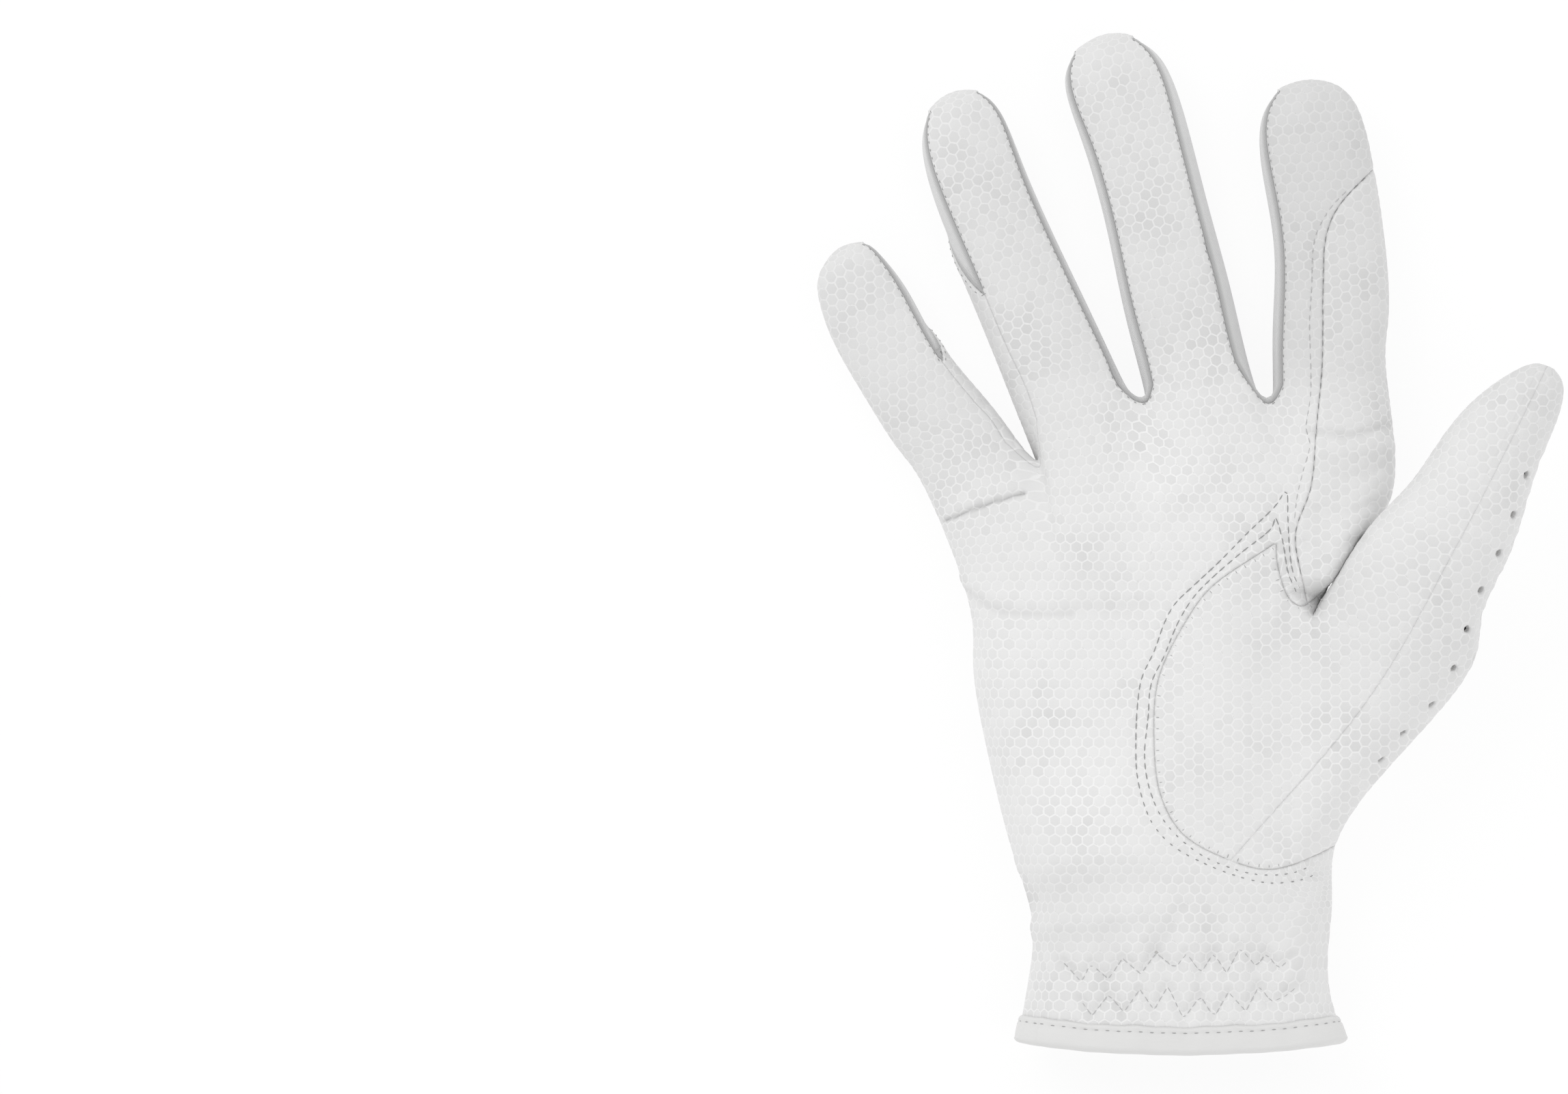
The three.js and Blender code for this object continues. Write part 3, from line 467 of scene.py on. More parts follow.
    def renewed(self) -> Array:
        """Fresh unit normals from the faces.

        Returns:
            The normals.
        """
        p = self.points[self.faces]
        across = np.cross(p[:, 2] - p[:, 0], p[:, 3] - p[:, 1])
        total = np.zeros_like(self.points)
        for i in range(4):
            np.add.at(total, self.faces[:, i], across)
        return total / np.maximum(np.linalg.norm(total, axis=1, keepdims=True), 1e-9)


def joined(*patches: Patch) -> Patch:
    """Several patches as one, with shared points welded.

    Args:
        *patches: the patches, in order.

    Returns:
        The whole.
    """
    base, faces = 0, []
    for patch in patches:
        faces.append(patch.faces + base)
        base += len(patch.points)
    return Patch(np.vstack([p.points for p in patches]), np.vstack([p.normals for p in patches]),
                 np.vstack([p.flat for p in patches]), np.vstack(faces),
                 np.concatenate([p.label for p in patches])).weld()


# ---------------------------------------------------------------- the glove's form
class Panel(Enum):
    """The panels that the cage's faces belong to."""

    FRONT = 0
    BACK = 1
    THUMB = 2
    GUSSET = 3
    FOURCHETTE_LITTLE = 4
    FOURCHETTE_RING = 5
    FOURCHETTE_RING_MIDDLE = 6
    FOURCHETTE_MIDDLE_INDEX = 7


class Cage:
    """A coarse net of four-sided faces that subdivision rounds into the glove."""

    FITS = 14  # how often the net is fitted to its goal
    HALVINGS = 2  # how often its faces are halved each way
    SETTLE_BAND = (6, 17)  # where the smoothing of the thumb's root fades out, mm from its line
    WEB_LIFT, WEB_SPREAD, WEB_SIDE, WEB_DRAW = 7.5, 5.2, 1.2, 0.93

    def __init__(self) -> None:
        """Builds the net from the tables and fits the smooth surface through its places."""
        self.places: list[Array] = []
        self.corners: list[tuple[int, ...]] = []
        self.panels: list[int] = []
        rings = [[self._ring(stall, row) for row in stall.rows] for stall in STALLS]
        crotches = self._crotches(rings)
        rows = self._palm(rings, crotches)
        self._fingers(rings, crotches)
        self._thumb(rows)
        goal = np.array(self.places)
        faces = np.array(self.corners)
        data = goal.copy()
        for _ in range(self.FITS):
            data += goal - limit(data, faces)
        label = np.array(self.panels)
        for _ in range(self.HALVINGS):
            data, faces = subdivide(data, faces)
            label = np.repeat(label, 4)
        self.data, self.faces, self.label = limit(data, faces), faces, label
        self._settle(goal, rows)
        self._close_web()
        self.normals = self._facing()

    def _facing(self) -> Array:
        """Which way the surface faces at each of its points."""
        places = self.data[:, :3]
        return Patch(places, places, self.data[:, 3:], self.faces, self.label).renewed()

    def _settle(self, goal: Array, rows: list, rounds: int = 26) -> None:
        """Smooths away the step where the thumb leaves the palm's front.

        Args:
            goal: the net's places before subdivision.
            rows: the palm's rows of points.
            rounds: how often each height is drawn towards its neighbours' mean.
        """
        low, half, high = rows[THUMB_ROW:THUMB_ROW + 3]
        line = goal[[low[15], low[14], low[13], half[13], high[13]], :2]
        distance, _ = line_distance(self.data[:, :2], line)
        weight = (1 - ease(distance, *self.SETTLE_BAND)) * ease(self._facing()[:, 2], 0.25, 0.6)
        a, b = self.faces.ravel(), np.roll(self.faces, -1, 1).ravel()
        count = len(self.data)
        total = np.maximum(np.bincount(a, minlength=count) + np.bincount(b, minlength=count), 1)
        for _ in range(rounds):
            z = self.data[:, 2]
            mean = (np.bincount(a, z[b], count) + np.bincount(b, z[a], count)) / total
            self.data[:, 2] = z + weight * (mean - z)

    def _close_web(self) -> None:
        """Draws the thumb's inner side over the palm's edge, so that the web is a closed fold."""
        start, onward, outward = (np.array(v) for v in WEB_FOLD)
        along, away = (self.data[:, :2] - start) @ onward, (self.data[:, :2] - start) @ outward
        share = ease(along, -6, 4) * (1 - ease(along, 12, 44))
        facing = self._facing()
        rise = share * np.exp(-((away + self.WEB_SIDE) / self.WEB_SPREAD) ** 2) * ease(facing[:, 2], -0.1, 0.5)
        self.data[:, 2] += self.WEB_LIFT * rise * (self._label_of_points() == Panel.FRONT.value)
        drawn = self.WEB_DRAW * np.maximum(away, 0) * share * (1 - ease(away, 3, 14))
        self.data[:, :2] -= drawn[:, None] * outward
        middle = self.data[self.faces].mean(1)
        upward = facing[self.faces].mean(1)[:, 2] > -0.1
        inside = inside_distance(middle[:, :2], np.array(WEB_GROUND)) > 0
        taken = inside & upward & (self.label == Panel.THUMB.value)
        self.label = np.where(taken, Panel.FRONT.value, self.label)
        points = np.unique(self.faces[taken])
        self.data[points, 3:] = self.data[points, :2]

    def _label_of_points(self) -> Array:
        """The panel that each point belongs to; the last of them where panels meet.

        Returns:
            The panels' numbers.
        """
        label = np.zeros(len(self.data), int)
        label[self.faces.ravel()] = np.repeat(self.label, 4)
        return label

    def _add(self, place: Array, u: float = 0.0, v: float = 0.0) -> int:
        """Adds a point with its flat-pattern coordinates and returns its number."""
        self.places.append(np.array([place[0], place[1], place[2], u, v], float))
        return len(self.places) - 1

    def _face(self, panel: Panel, *corners: int) -> None:
        """Adds a face of a panel."""
        self.corners.append(corners)
        self.panels.append(panel.value)

    def _ring(self, stall: Stall, row: tuple) -> list[int]:
        """The eight points round one section of a finger, its flat pattern unrolled round it.

        Args:
            stall: the finger.
            row: the section, from the finger's rows.

        Returns:
            The points' numbers.
        """
        along, drift, breadth, depth, rise, taper = row
        half, deep = breadth * stall.breadth / 2, depth * stall.thickness / 2
        middle = rise * stall.thickness + deep
        left, right, back = (share + (0.95 - share) * taper
                             for share in (stall.seam_left, stall.seam_right, BACK_SEAM))
        places = ((-1, 0), (-left, arch(left, 2.4)), ((right - left) / 2, 1), (right, arch(right, 2.4)),
                  (1, 0), (back, -arch(back, 2.4)), (0, -1), (-back, -arch(back, 2.4)))
        centre = stall.base + stall.out * along * stall.length + stall.side * drift * stall.breadth
        points = [centre + stall.side * s * half + np.array([0, 0, middle + h * deep]) for s, h in places]
        step = [float(np.linalg.norm(points[(n + 1) % 8] - points[n])) for n in range(8)]
        across = stall.across * HALF_PALM * 1.06 + drift * stall.breadth + (right - left) / 2 * half
        u = [across - step[0] - step[1], across - step[1], across, across + step[2],
             across + step[2] + step[3], across + sum(step[2:5]), across, across - step[0] - step[1] - step[7]]
        v = stall.root * PALM_LENGTH + along * stall.length
        share = 0.5 if row is stall.rows[0] else 0.0  # the rows turn from the palm's to the finger's
        return [self._add(p, a, v + share * (p[1] - points[2][1])) for p, a in zip(points, u)]

    def _crotches(self, rings: list) -> list:
        """The points between neighbouring fingers.

        Args:
            rings: each finger's rings of points.

        Returns:
            Front, middle and back point of each crotch.
        """
        made = []
        for i, stall in enumerate(STALLS[:-1]):
            down = stall.out + STALLS[i + 1].out
            down = -down / np.linalg.norm(down) * stall.crotch_drop
            made.append([])
            for mine, theirs, share in ((3, 1, 0.9), (4, 0, 1.0), (5, 7, 0.9)):
                p = (self.places[rings[i][0][mine]] + self.places[rings[i + 1][0][theirs]]) / 2
                p[:3] += down * share
                made[-1].append(self._add(p[:3], p[3], p[1]))
        return made

    def _palm(self, rings: list, crotches: list) -> list:
        """The palm's rows of points and their faces.

        Args:
            rings: each finger's rings of points.
            crotches: the points between them.

        Returns:
            The rows of points' numbers, from the hem up.
        """
        top = [0] * AROUND
        for i in range(len(STALLS)):
            base = rings[i][0]
            for j, (near, far) in enumerate(((1, 7), (2, 6), (3, 5))):
                top[4 * i + j], top[AROUND - 2 - 4 * i - j] = base[near], base[far]
            if i < len(crotches):
                top[4 * i + 3], top[AROUND - 5 - 4 * i] = crotches[i][0], crotches[i][2]
        top[COLUMNS], top[AROUND - 1] = rings[3][0][4], rings[0][0][0]
        left_edge, right_edge = self.places[top[AROUND - 1]], self.places[top[COLUMNS]]

        def across(column: int) -> float:
            """Where a column leads at the palm's upper end.

            Args:
                column: the column's number.

            Returns:
                The place across, mm.
            """
            if column < 0:
                return left_edge[0]
            if column >= COLUMNS:
                return right_edge[0]
            if column % 4 == 3:
                return (across(column - 1) + across(column + 1)) / 2
            return self.places[top[column]][0]

        knots = [left_edge[1] - 3, *(self.places[c[1]][1] for c in crotches), right_edge[1] - 4]
        rows = []
        for along, left, right, height, spread in PALM_ROWS:
            middle = height * PALM_THICKNESS / 2
            points = []
            for k in range(AROUND):
                front = k <= COLUMNS or k == AROUND - 1
                column = -1 if k == AROUND - 1 else k if k <= COLUMNS else AROUND - 2 - k
                even = -1 + 2 * (column + 1) / (COLUMNS + 1)
                lined = -1 + 2 * (across(column) - left_edge[0]) / (right_edge[0] - left_edge[0])
                t = even + (lined - even) * spread
                x = HALF_PALM * (left + (right - left) * (t + 1) / 2)
                place = (column + 1) / 4
                k0 = min(3, int(place))
                line = knots[k0] + (knots[k0 + 1] - knots[k0]) * (place - k0)
                y = HEM_HEIGHT + along * (line - HEM_HEIGHT) + HEM_BOW * t * t * (1 - along)
                if front:
                    z = middle + middle * arch(t, 2.5) + (pad_height(x, y) * arch(t, 2) if abs(t) < 1 else 0)
                else:
                    z = middle - middle * min(1, 1.04 * arch(t, 3.4))
                points.append(np.array([x, y, z + HEM_LIFT * max(0, 1 - along / PALM_ROWS[1][0])]))
            order = [AROUND - 1, *range(COLUMNS + 1)]
            u = {7: points[7][0]}
            for a, b in zip(range(7, COLUMNS), range(8, COLUMNS + 1)):
                u[b] = u[a] + math.hypot(*(points[b] - points[a])[[0, 2]])
            for a, b in zip(order[8:0:-1], order[7::-1]):
                u[b] = u[a] - math.hypot(*(points[b] - points[a])[[0, 2]])
            rows.append([self._add(p, u.get(k, u.get(AROUND - 2 - k, 0.0)), p[1])
                         for k, p in enumerate(points)])
        rows.append(top)
        for r in range(len(rows) - 1):
            for k in range(AROUND):
                if THUMB_ROW <= r < THUMB_ROW + 2 and 13 <= k < 17:
                    continue
                n = (k + 1) % AROUND
                panel = Panel.FRONT if k < COLUMNS or k == AROUND - 1 else Panel.BACK
                self._face(panel, rows[r][k], rows[r][n], rows[r + 1][n], rows[r + 1][k])
        return rows

    @staticmethod
    def _finger_panel(i: int, n: int, j: int) -> Panel:
        """Which panel covers the face between ring points n and n + 1 of finger i, at height j.

        Args:
            i: the finger.
            n: the point of its ring.
            j: the ring.

        Returns:
            The panel.
        """
        if n in (1, 2):
            return Panel.FRONT
        if n in (5, 6):
            return Panel.BACK
        on_right = n in (3, 4)
        if i == 0 and not on_right:
            return Panel.FRONT if n == 0 else Panel.BACK
        if i == 3 and on_right:
            return Panel.FRONT if n == 3 else Panel.BACK
        if i == 0:
            return Panel.GUSSET if j < 2 else Panel.FOURCHETTE_LITTLE
        if i == 1 and not on_right:
            return Panel.GUSSET if j < 1 else Panel.FOURCHETTE_RING
        return BETWEEN[i if on_right else i - 1]

    def _fingers(self, rings: list, crotches: list) -> None:
        """The faces of the fingers, their tips and the crotches between them.

        Args:
            rings: each finger's rings of points.
            crotches: the points between them.
        """
        for i, ring in enumerate(rings):
            for j in range(len(ring) - 1):
                for n in range(8):
                    m = (n + 1) % 8
                    self._face(self._finger_panel(i, n, j), ring[j][n], ring[j][m], ring[j + 1][m],
                               ring[j + 1][n])
            last, stall = ring[-1], STALLS[i]
            tip = stall.base + stall.out * stall.length
            tip[2] = self.places[last[0]][2]
            end = self._add(tip, self.places[last[2]][3], stall.root * PALM_LENGTH + stall.length * 1.06)
            for n in range(0, 8, 2):
                self._face(Panel.FRONT if n < 4 else Panel.BACK, last[n], last[n + 1], last[(n + 2) % 8], end)
        for i, (front, middle, back) in enumerate(crotches):
            panel = Panel.GUSSET if i == 0 else BETWEEN[i]
            mine, theirs = rings[i][0], rings[i + 1][0]
            self._face(panel, front, middle, mine[4], mine[3])
            self._face(panel, middle, back, mine[5], mine[4])
            self._face(panel, back, middle, theirs[0], theirs[7])
            self._face(panel, middle, front, theirs[1], theirs[0])

    def _thumb(self, rows: list) -> None:
        """The thumb's tube, out of the hole in the palm's thumb-side edge.

        Args:
            rows: the palm's rows of points.
        """
        low, half, high = rows[THUMB_ROW:THUMB_ROW + 3]
        loop = [low[15], low[14], low[13], half[13], high[13], high[14], high[15], high[16], high[17],
                half[17], low[17], low[16]]
        last = loop
        for row in THUMB_ROWS:
            ring = [self._add(thumb_point(row, 2 * math.pi * j / 12)) for j in range(12)]
            for j in range(12):
                n = (j + 1) % 12
                self._face(Panel.THUMB, last[n], last[j], ring[j], ring[n])
            last = ring
        tip = self._add(thumb_place((1.0, *THUMB_ROWS[-1][1:])))
        for n in range(0, 12, 2):
            self._face(Panel.THUMB, last[(n + 2) % 12], last[n + 1], last[n], tip)

    def patch(self, panels: Sequence[Panel], target: float) -> Patch:
        """The smooth surface of some panels, cut into faces of about one size.

        Args:
            panels: the panels wanted.
            target: the length of a face's side, mm.

        Returns:
            The patch, with the cuff's gathers and the flat where it rests.
        """
        chosen = np.isin(self.label, [p.value for p in panels])
        faces, label = self.faces[chosen], self.label[chosen]
        count = len(self.data)
        edges, inverse = np.unique(edge_keys(faces, count), return_inverse=True)
        inverse = inverse.reshape(-1, 4)
        parent = list(range(len(edges)))

        def root(e: int) -> int:
            """The first edge of the strip that an edge belongs to.

            Args:
                e: an edge's number.

            Returns:
                The first edge's number.
            """
            while parent[e] != e:
                parent[e] = parent[parent[e]]
                e = parent[e]
            return e

        for row in inverse.tolist():
            for x, y in ((row[0], row[2]), (row[1], row[3])):
                parent[root(x)] = root(y)
        roots = np.array([root(e) for e in range(len(edges))])
        size = np.linalg.norm(self.data[edges // count, :3] - self.data[edges % count, :3], axis=1)
        total, number = np.bincount(roots, size, len(edges)), np.bincount(roots, minlength=len(edges))
        steps = np.maximum(1, np.round(total / np.maximum(number, 1) / target)).astype(int)
        nu, nv = steps[roots[inverse[:, 0]]], steps[roots[inverse[:, 1]]]
        data = np.hstack([self.data[:, :3], self.normals, self.data[:, 3:]])
        points, made, labels, base = [], [], [], 0
        for p, q in sorted(set(zip(nu.tolist(), nv.tolist()))):
            group = np.nonzero((nu == p) & (nv == q))[0]
            u, v = grid(np.arange(p + 1) / p, np.arange(q + 1) / q)
            weights = np.stack([(1 - u) * (1 - v), u * (1 - v), u * v, (1 - u) * v], 1)
            corners = data[faces[group]]
            flat = np.einsum("wk,fkd->fwd", weights, corners)
            rel = flat[:, :, None, :3] - corners[:, None, :, :3]
            normal = corners[:, None, :, 3:6]
            lift = -(rel * normal).sum(3, keepdims=True) * normal
            flat[:, :, :3] += 0.5 * np.einsum("wk,fwkd->fwd", weights, lift)
            points.append(flat.reshape(-1, 8))
            i, j = grid(np.arange(p), np.arange(q))
            quad = np.stack([i * (q + 1) + j, (i + 1) * (q + 1) + j, (i + 1) * (q + 1) + j + 1,
                             i * (q + 1) + j + 1], 1)
            made.append((base + np.arange(len(group))[:, None, None] * len(u) + quad).reshape(-1, 4))
            labels.append(np.repeat(label[group], p * q))
            base += len(group) * len(u)
        rows = np.vstack(points)
        normals = rows[:, 3:6] / np.linalg.norm(rows[:, 3:6], axis=1, keepdims=True)
        patch = Patch(rows[:, :3], normals, rows[:, 6:], np.vstack(made), np.concatenate(labels)).weld()
        if Panel.FRONT in panels:
            front = np.zeros(len(patch.points), bool)
            front[patch.faces[patch.label == Panel.FRONT.value].ravel()] = True
            p = patch.points
            low, high = BINDING_HEIGHT + 2, PALM_LENGTH * 0.23
            share = np.clip((p[:, 1] - low) / (high - low), 0, 1)
            p[:, 2] += front * GATHER_DEPTH * np.sin(np.pi * share) * np.cos(2 * np.pi * p[:, 0] / GATHER_PITCH)
        patch.points[:, 2] = np.maximum(0, patch.points[:, 2] - REST_FLAT)
        return patch

    def hem(self) -> tuple[Array, Array, Array]:
        """The cuff's edge as a ring: its points, normals and the directions up the leather.

        Returns:
            The three, a row for each point.
        """
        patch = Patch(self.data[:, :3], self.normals, self.data[:, 3:], self.faces, self.label)
        chain = patch.loops()[0]
        ring = set(chain)
        above = {}
        for face in self.faces[np.isin(self.faces, chain).any(1)]:
            for a, b in zip(face, np.roll(face, -1)):
                if (a in ring) != (b in ring):
                    above[int(a if a in ring else b)] = int(b if a in ring else a)
        up = self.data[[above[i] for i in chain], :3] - self.data[chain, :3]
        points = self.data[chain, :3].copy()
        points[:, 2] = np.maximum(0, points[:, 2] - REST_FLAT)
        return points, self.normals[chain], up / np.linalg.norm(up, axis=1, keepdims=True)


BETWEEN = (Panel.GUSSET, Panel.FOURCHETTE_RING_MIDDLE, Panel.FOURCHETTE_MIDDLE_INDEX)


def knit_end(places: Array) -> Array:
    """Distance into the leather from where the little and ring fingers' knit strips end, mm.

    Args:
        places: points of the glove.

    Returns:
        The distances, negative on the knit.
    """
    fields, nearness = [], []
    for stall, (place, slant, reach), hand in zip(STALLS, KNIT_ENDS, (1, -1)):
        rel = places - stall.base
        end = (np.array([*place, 0.0]) - stall.base) @ stall.out
        down = np.clip(stall.thickness * 0.85 - places[:, 2], 0, reach)
        fields.append(end + slant * down - rel @ stall.out)
        nearness.append(np.abs(rel @ stall.side * hand - stall.breadth / 2))
    return np.where(nearness[0] < nearness[1], fields[0], fields[1])


def pad_height(x: float, y: float) -> float:
    """How much the pads raise the palm's front at a place.

    Args:
        x: across the palm, mm.
        y: along it.

    Returns:
        The rise, mm.
    """
    return sum(height * PALM_THICKNESS * math.exp(
        -(math.hypot(x - across * HALF_PALM, y - along * PALM_LENGTH) / (radius * PALM_BREADTH)) ** 2)
        for across, along, radius, height in PADS)


def thumb_place(row: Sequence[float]) -> Array:
    """The middle of one section of the thumb."""
    place = THUMB_BASE + THUMB_OUT * row[0] * THUMB_LENGTH + THUMB_SIDE * row[1] * THUMB_BREADTH
    return place + np.array([0, 0, row[4] * PALM_THICKNESS])


def thumb_point(row: Sequence[float], angle: float) -> Array:
    """A point of the thumb's section: angle 0 is its outer side, a quarter turn its palm side."""
    half, deep = row[2] * THUMB_BREADTH / 2, row[3] * THUMB_THICKNESS / 2
    return thumb_place(row) + THUMB_SIDE * half * math.cos(angle) + np.array([0, 0, deep * math.sin(angle)])


def thumb_middle(places: Array) -> Array:
    """The thumb's middle height at each place."""
    share = (places[:, :2] - THUMB_BASE[:2]) @ THUMB_OUT[:2] / THUMB_LENGTH
    return np.interp(share, THUMB_ROWS[:, 0], THUMB_ROWS[:, 4]) * PALM_THICKNESS


def limit(points: Array, faces: Array) -> Array:
    """Where the smooth surface passes each point of a net of four-sided faces.

    Args:
        points: the net's points.
        faces: its faces.

    Returns:
        The points on the surface.
    """
    count = len(points)
    key, counts = np.unique(edge_keys(faces, count), return_counts=True)
    a, b = key // count, key % count
    near, far, rim = np.zeros_like(points), np.zeros_like(points), np.zeros_like(points)
    np.add.at(near, a, points[b])
    np.add.at(near, b, points[a])
    lone = counts == 1
    np.add.at(rim, a[lone], points[b[lone]])
    np.add.at(rim, b[lone], points[a[lone]])
    for i in range(4):
        np.add.at(far, faces[:, i], points[faces[:, (i + 2) % 4]])
    n = np.maximum(np.bincount(faces.ravel(), minlength=count)[:, None], 1).astype(float)
    on_rim = (np.bincount(a[lone], minlength=count) + np.bincount(b[lone], minlength=count) > 0)[:, None]
    return np.where(on_rim, (4 * points + rim) / 6, (points * n * n + 4 * near + far) / (n * (n + 5)))


def subdivide(points: Array, faces: Array) -> tuple[Array, Array]:
    """One step of Catmull-Clark subdivision.

    Args:
        points: the net's points, with any further columns carried along.
        faces: its four-sided faces.

    Returns:
        The finer net's points, the old ones first, and its faces, each old face as four in turn.
    """
    count = len(points)
    key, inverse, counts = np.unique(edge_keys(faces, count), return_inverse=True, return_counts=True)
    inverse = inverse.reshape(-1)
    ends = np.stack([key // count, key % count], 1)
    centre, mid = points[faces].mean(1), points[ends].mean(1)
    sides = np.zeros_like(mid)
    np.add.at(sides, inverse, np.repeat(centre, 4, 0))
    edge_points = np.where((counts == 2)[:, None], (2 * mid + sides) / 4, mid)
    mids, centres, rim = np.zeros_like(points), np.zeros_like(points), np.zeros_like(points)
    lone = counts == 1
    for i in range(2):
        np.add.at(mids, ends[:, i], mid)
        np.add.at(rim, ends[lone, i], mid[lone])
    for i in range(4):
        np.add.at(centres, faces[:, i], centre)
    n = np.maximum(np.bincount(ends.ravel(), minlength=count)[:, None], 1).astype(float)
    on_rim = (np.bincount(ends[lone].ravel(), minlength=count) > 0)[:, None]
    faces_round = np.maximum(np.bincount(faces.ravel(), minlength=count)[:, None], 1)
    moved = np.where(on_rim, (2 * points + rim) / 4,
                     (centres / faces_round + 2 * mids / n + (n - 3) * points) / n)
    edge = count + inverse.reshape(-1, 4)
    middle = count + len(key) + np.arange(len(faces))
    split = np.stack([np.stack([faces[:, i], edge[:, i], middle, edge[:, i - 1]], 1) for i in range(4)], 1)
    return np.vstack([moved, edge_points, centre]), split.reshape(-1, 4)


# ---------------------------------------------------------------- materials
class Reading:
    """A value in a material: a socket whose sums are written as Python expressions."""

    def __init__(self, sheet: "NodeSheet", socket: Socket) -> None:
        """Wraps a socket of a material's node sheet."""
        self.sheet, self.socket = sheet, socket

    def _math(self, operation: str, *others: "Reading | float", flipped: bool = False) -> "Reading":
        """Adds a Math node over this value and others.

        Args:
            operation: what the node does.
            *others: its further values.
            flipped: take the values in reverse.

        Returns:
            The result.
        """
        values = [self, *others]
        if flipped:
            values.reverse()
        node = self.sheet.node("ShaderNodeMath", {"operation": operation}, dict(enumerate(values)))
        return Reading(self.sheet, node.outputs[0])

    def __add__(self, other: "Reading | float") -> "Reading":
        """Sum."""
        return self._math("ADD", other)

    def __sub__(self, other: "Reading | float") -> "Reading":
        """Difference."""
        return self._math("SUBTRACT", other)

    def __rsub__(self, other: "Reading | float") -> "Reading":
        """Difference from a number."""
        return self._math("SUBTRACT", other, flipped=True)

    def __mul__(self, other: "Reading | float") -> "Reading":
        """Product."""
        return self._math("MULTIPLY", other)

    def __truediv__(self, other: "Reading | float") -> "Reading":
        """Quotient."""
        return self._math("DIVIDE", other)

    def __lt__(self, other: "Reading | float") -> "Reading":
        """One where this value is the smaller, otherwise nought."""
        return self._math("LESS_THAN", other)

    def __abs__(self) -> "Reading":
        """Size without its sign."""
        return self._math("ABSOLUTE")

    def __round__(self, digits: int = 0) -> "Reading":
        """The nearest whole number."""
        return self._math("ROUND")

    __radd__, __rmul__ = __add__, __mul__

    def most(self, other: "Reading | float") -> "Reading":
        """The larger of two values."""
        return self._math("MAXIMUM", other)

    def least(self, other: "Reading | float") -> "Reading":
        """The smaller of two values."""
        return self._math("MINIMUM", other)

    def eased(self, low: float, high: float) -> "Reading":
        """A smooth step from 0 at low to 1 at high.

        Args:
            low: where it is 0.
            high: where it is 1.

        Returns:
            The step.
        """
        node = self.sheet.node("ShaderNodeMapRange", {"interpolation_type": "SMOOTHSTEP"},
                               {"Value": self, "From Min": low, "From Max": high})
        return Reading(self.sheet, node.outputs[0])


class NodeSheet:
    """The nodes of one material."""

    def __init__(self, name: str) -> None:
        """Makes an empty material with a Principled shader.

        Args:
            name: the material's name.
        """
        self.material = bpy.data.materials.new(name)
        self.material.use_nodes = True
        self.tree = self.material.node_tree
        self.tree.nodes.clear()
        self.shader = self.node("ShaderNodeBsdfPrincipled")
        self.node("ShaderNodeOutputMaterial", inputs={"Surface": self.shader.outputs[0]})

    def node(self, kind: str, settings: dict | None = None, inputs: dict | None = None) -> bpy.types.Node:
        """Adds a node.

        Args:
            kind: the node's type.
            settings: its properties, set first.
            inputs: values or links of its sockets, by name or number.

        Returns:
            The node.
        """
        made = self.tree.nodes.new(kind)
        for key, value in (settings or {}).items():
            setattr(made, key, value)
        for key, value in (inputs or {}).items():
            self.feed(made.inputs[key], value)
        return made

    def feed(self, socket: Socket, value: object) -> None:
        """Links a value to a socket, or sets it there.

        Args:
            socket: the socket.
            value: a link, a reading or a constant.
        """
        if isinstance(value, Reading):
            self.tree.links.new(value.socket, socket)
        elif isinstance(value, Socket):
            self.tree.links.new(value, socket)
        else:
            socket.default_value = value

    def attribute(self, name: str) -> bpy.types.Node:
        """A named value stored on the mesh."""
        return self.node("ShaderNodeAttribute", {"attribute_name": name})

    def split(self, vector: Socket) -> list[Reading]:
        """A vector's three parts."""
        node = self.node("ShaderNodeSeparateXYZ", inputs={"Vector": vector})
        return [Reading(self, s) for s in node.outputs]

    def whole(self, *parts: "Reading | float") -> Socket:
        """A vector from its parts."""
        return self.node("ShaderNodeCombineXYZ", inputs=dict(enumerate(parts))).outputs[0]

    def noise(self, vector: Socket, scale: float, detail: float = 3.0) -> Reading:
        """Soft noise from 0 to 1 over a vector."""
        node = self.node("ShaderNodeTexNoise", inputs={"Vector": vector, "Scale": scale, "Detail": detail})
        return Reading(self, node.outputs[0])

    def flat(self) -> list[Reading]:
        """The flat pattern's two coordinates and the distance to the edge, mm."""
        return self.split(self.attribute("flat").outputs["Vector"])

    def place(self) -> Socket:
        """The place on the glove, in metres."""
        return self.node("ShaderNodeTexCoord").outputs["Object"]

    def tinted(self, shade: Reading, light: Sequence[float]) -> Socket:
        """A colour between black and a light one, by a shade from 0 to 1."""
        node = self.node("ShaderNodeMix", {"data_type": "RGBA"}, {0: shade, 6: (0, 0, 0, 1), 7: (*light, 1)})
        return node.outputs[2]

    def bump(self, height: Reading, strength: float, distance: float) -> Socket:
        """A normal from a height.

        Args:
            height: the height.
            strength: how much of it shows.
            distance: its full depth, m.

        Returns:
            The normal.
        """
        node = self.node("ShaderNodeBump", inputs={"Strength": strength, "Distance": distance,
                                                   "Height": height})
        return node.outputs[0]

    def finish(self, colour: object, roughness: object, normal: object = None,
               **fixed: object) -> Material:
        """Feeds the shader.

        Args:
            colour: Base Color, a link or four numbers.
            roughness: Roughness, a link or a number.
            normal: a link for Normal.
            **fixed: constants for further sockets, with _ for a space.

        Returns:
            The material.
        """
        self.feed(self.shader.inputs["Base Color"], colour)
        self.feed(self.shader.inputs["Roughness"], roughness)
        if normal is not None:
            self.feed(self.shader.inputs["Normal"], normal)
        for key, value in fixed.items():
            self.shader.inputs[key.replace("_", " ")].default_value = value
        return self.material


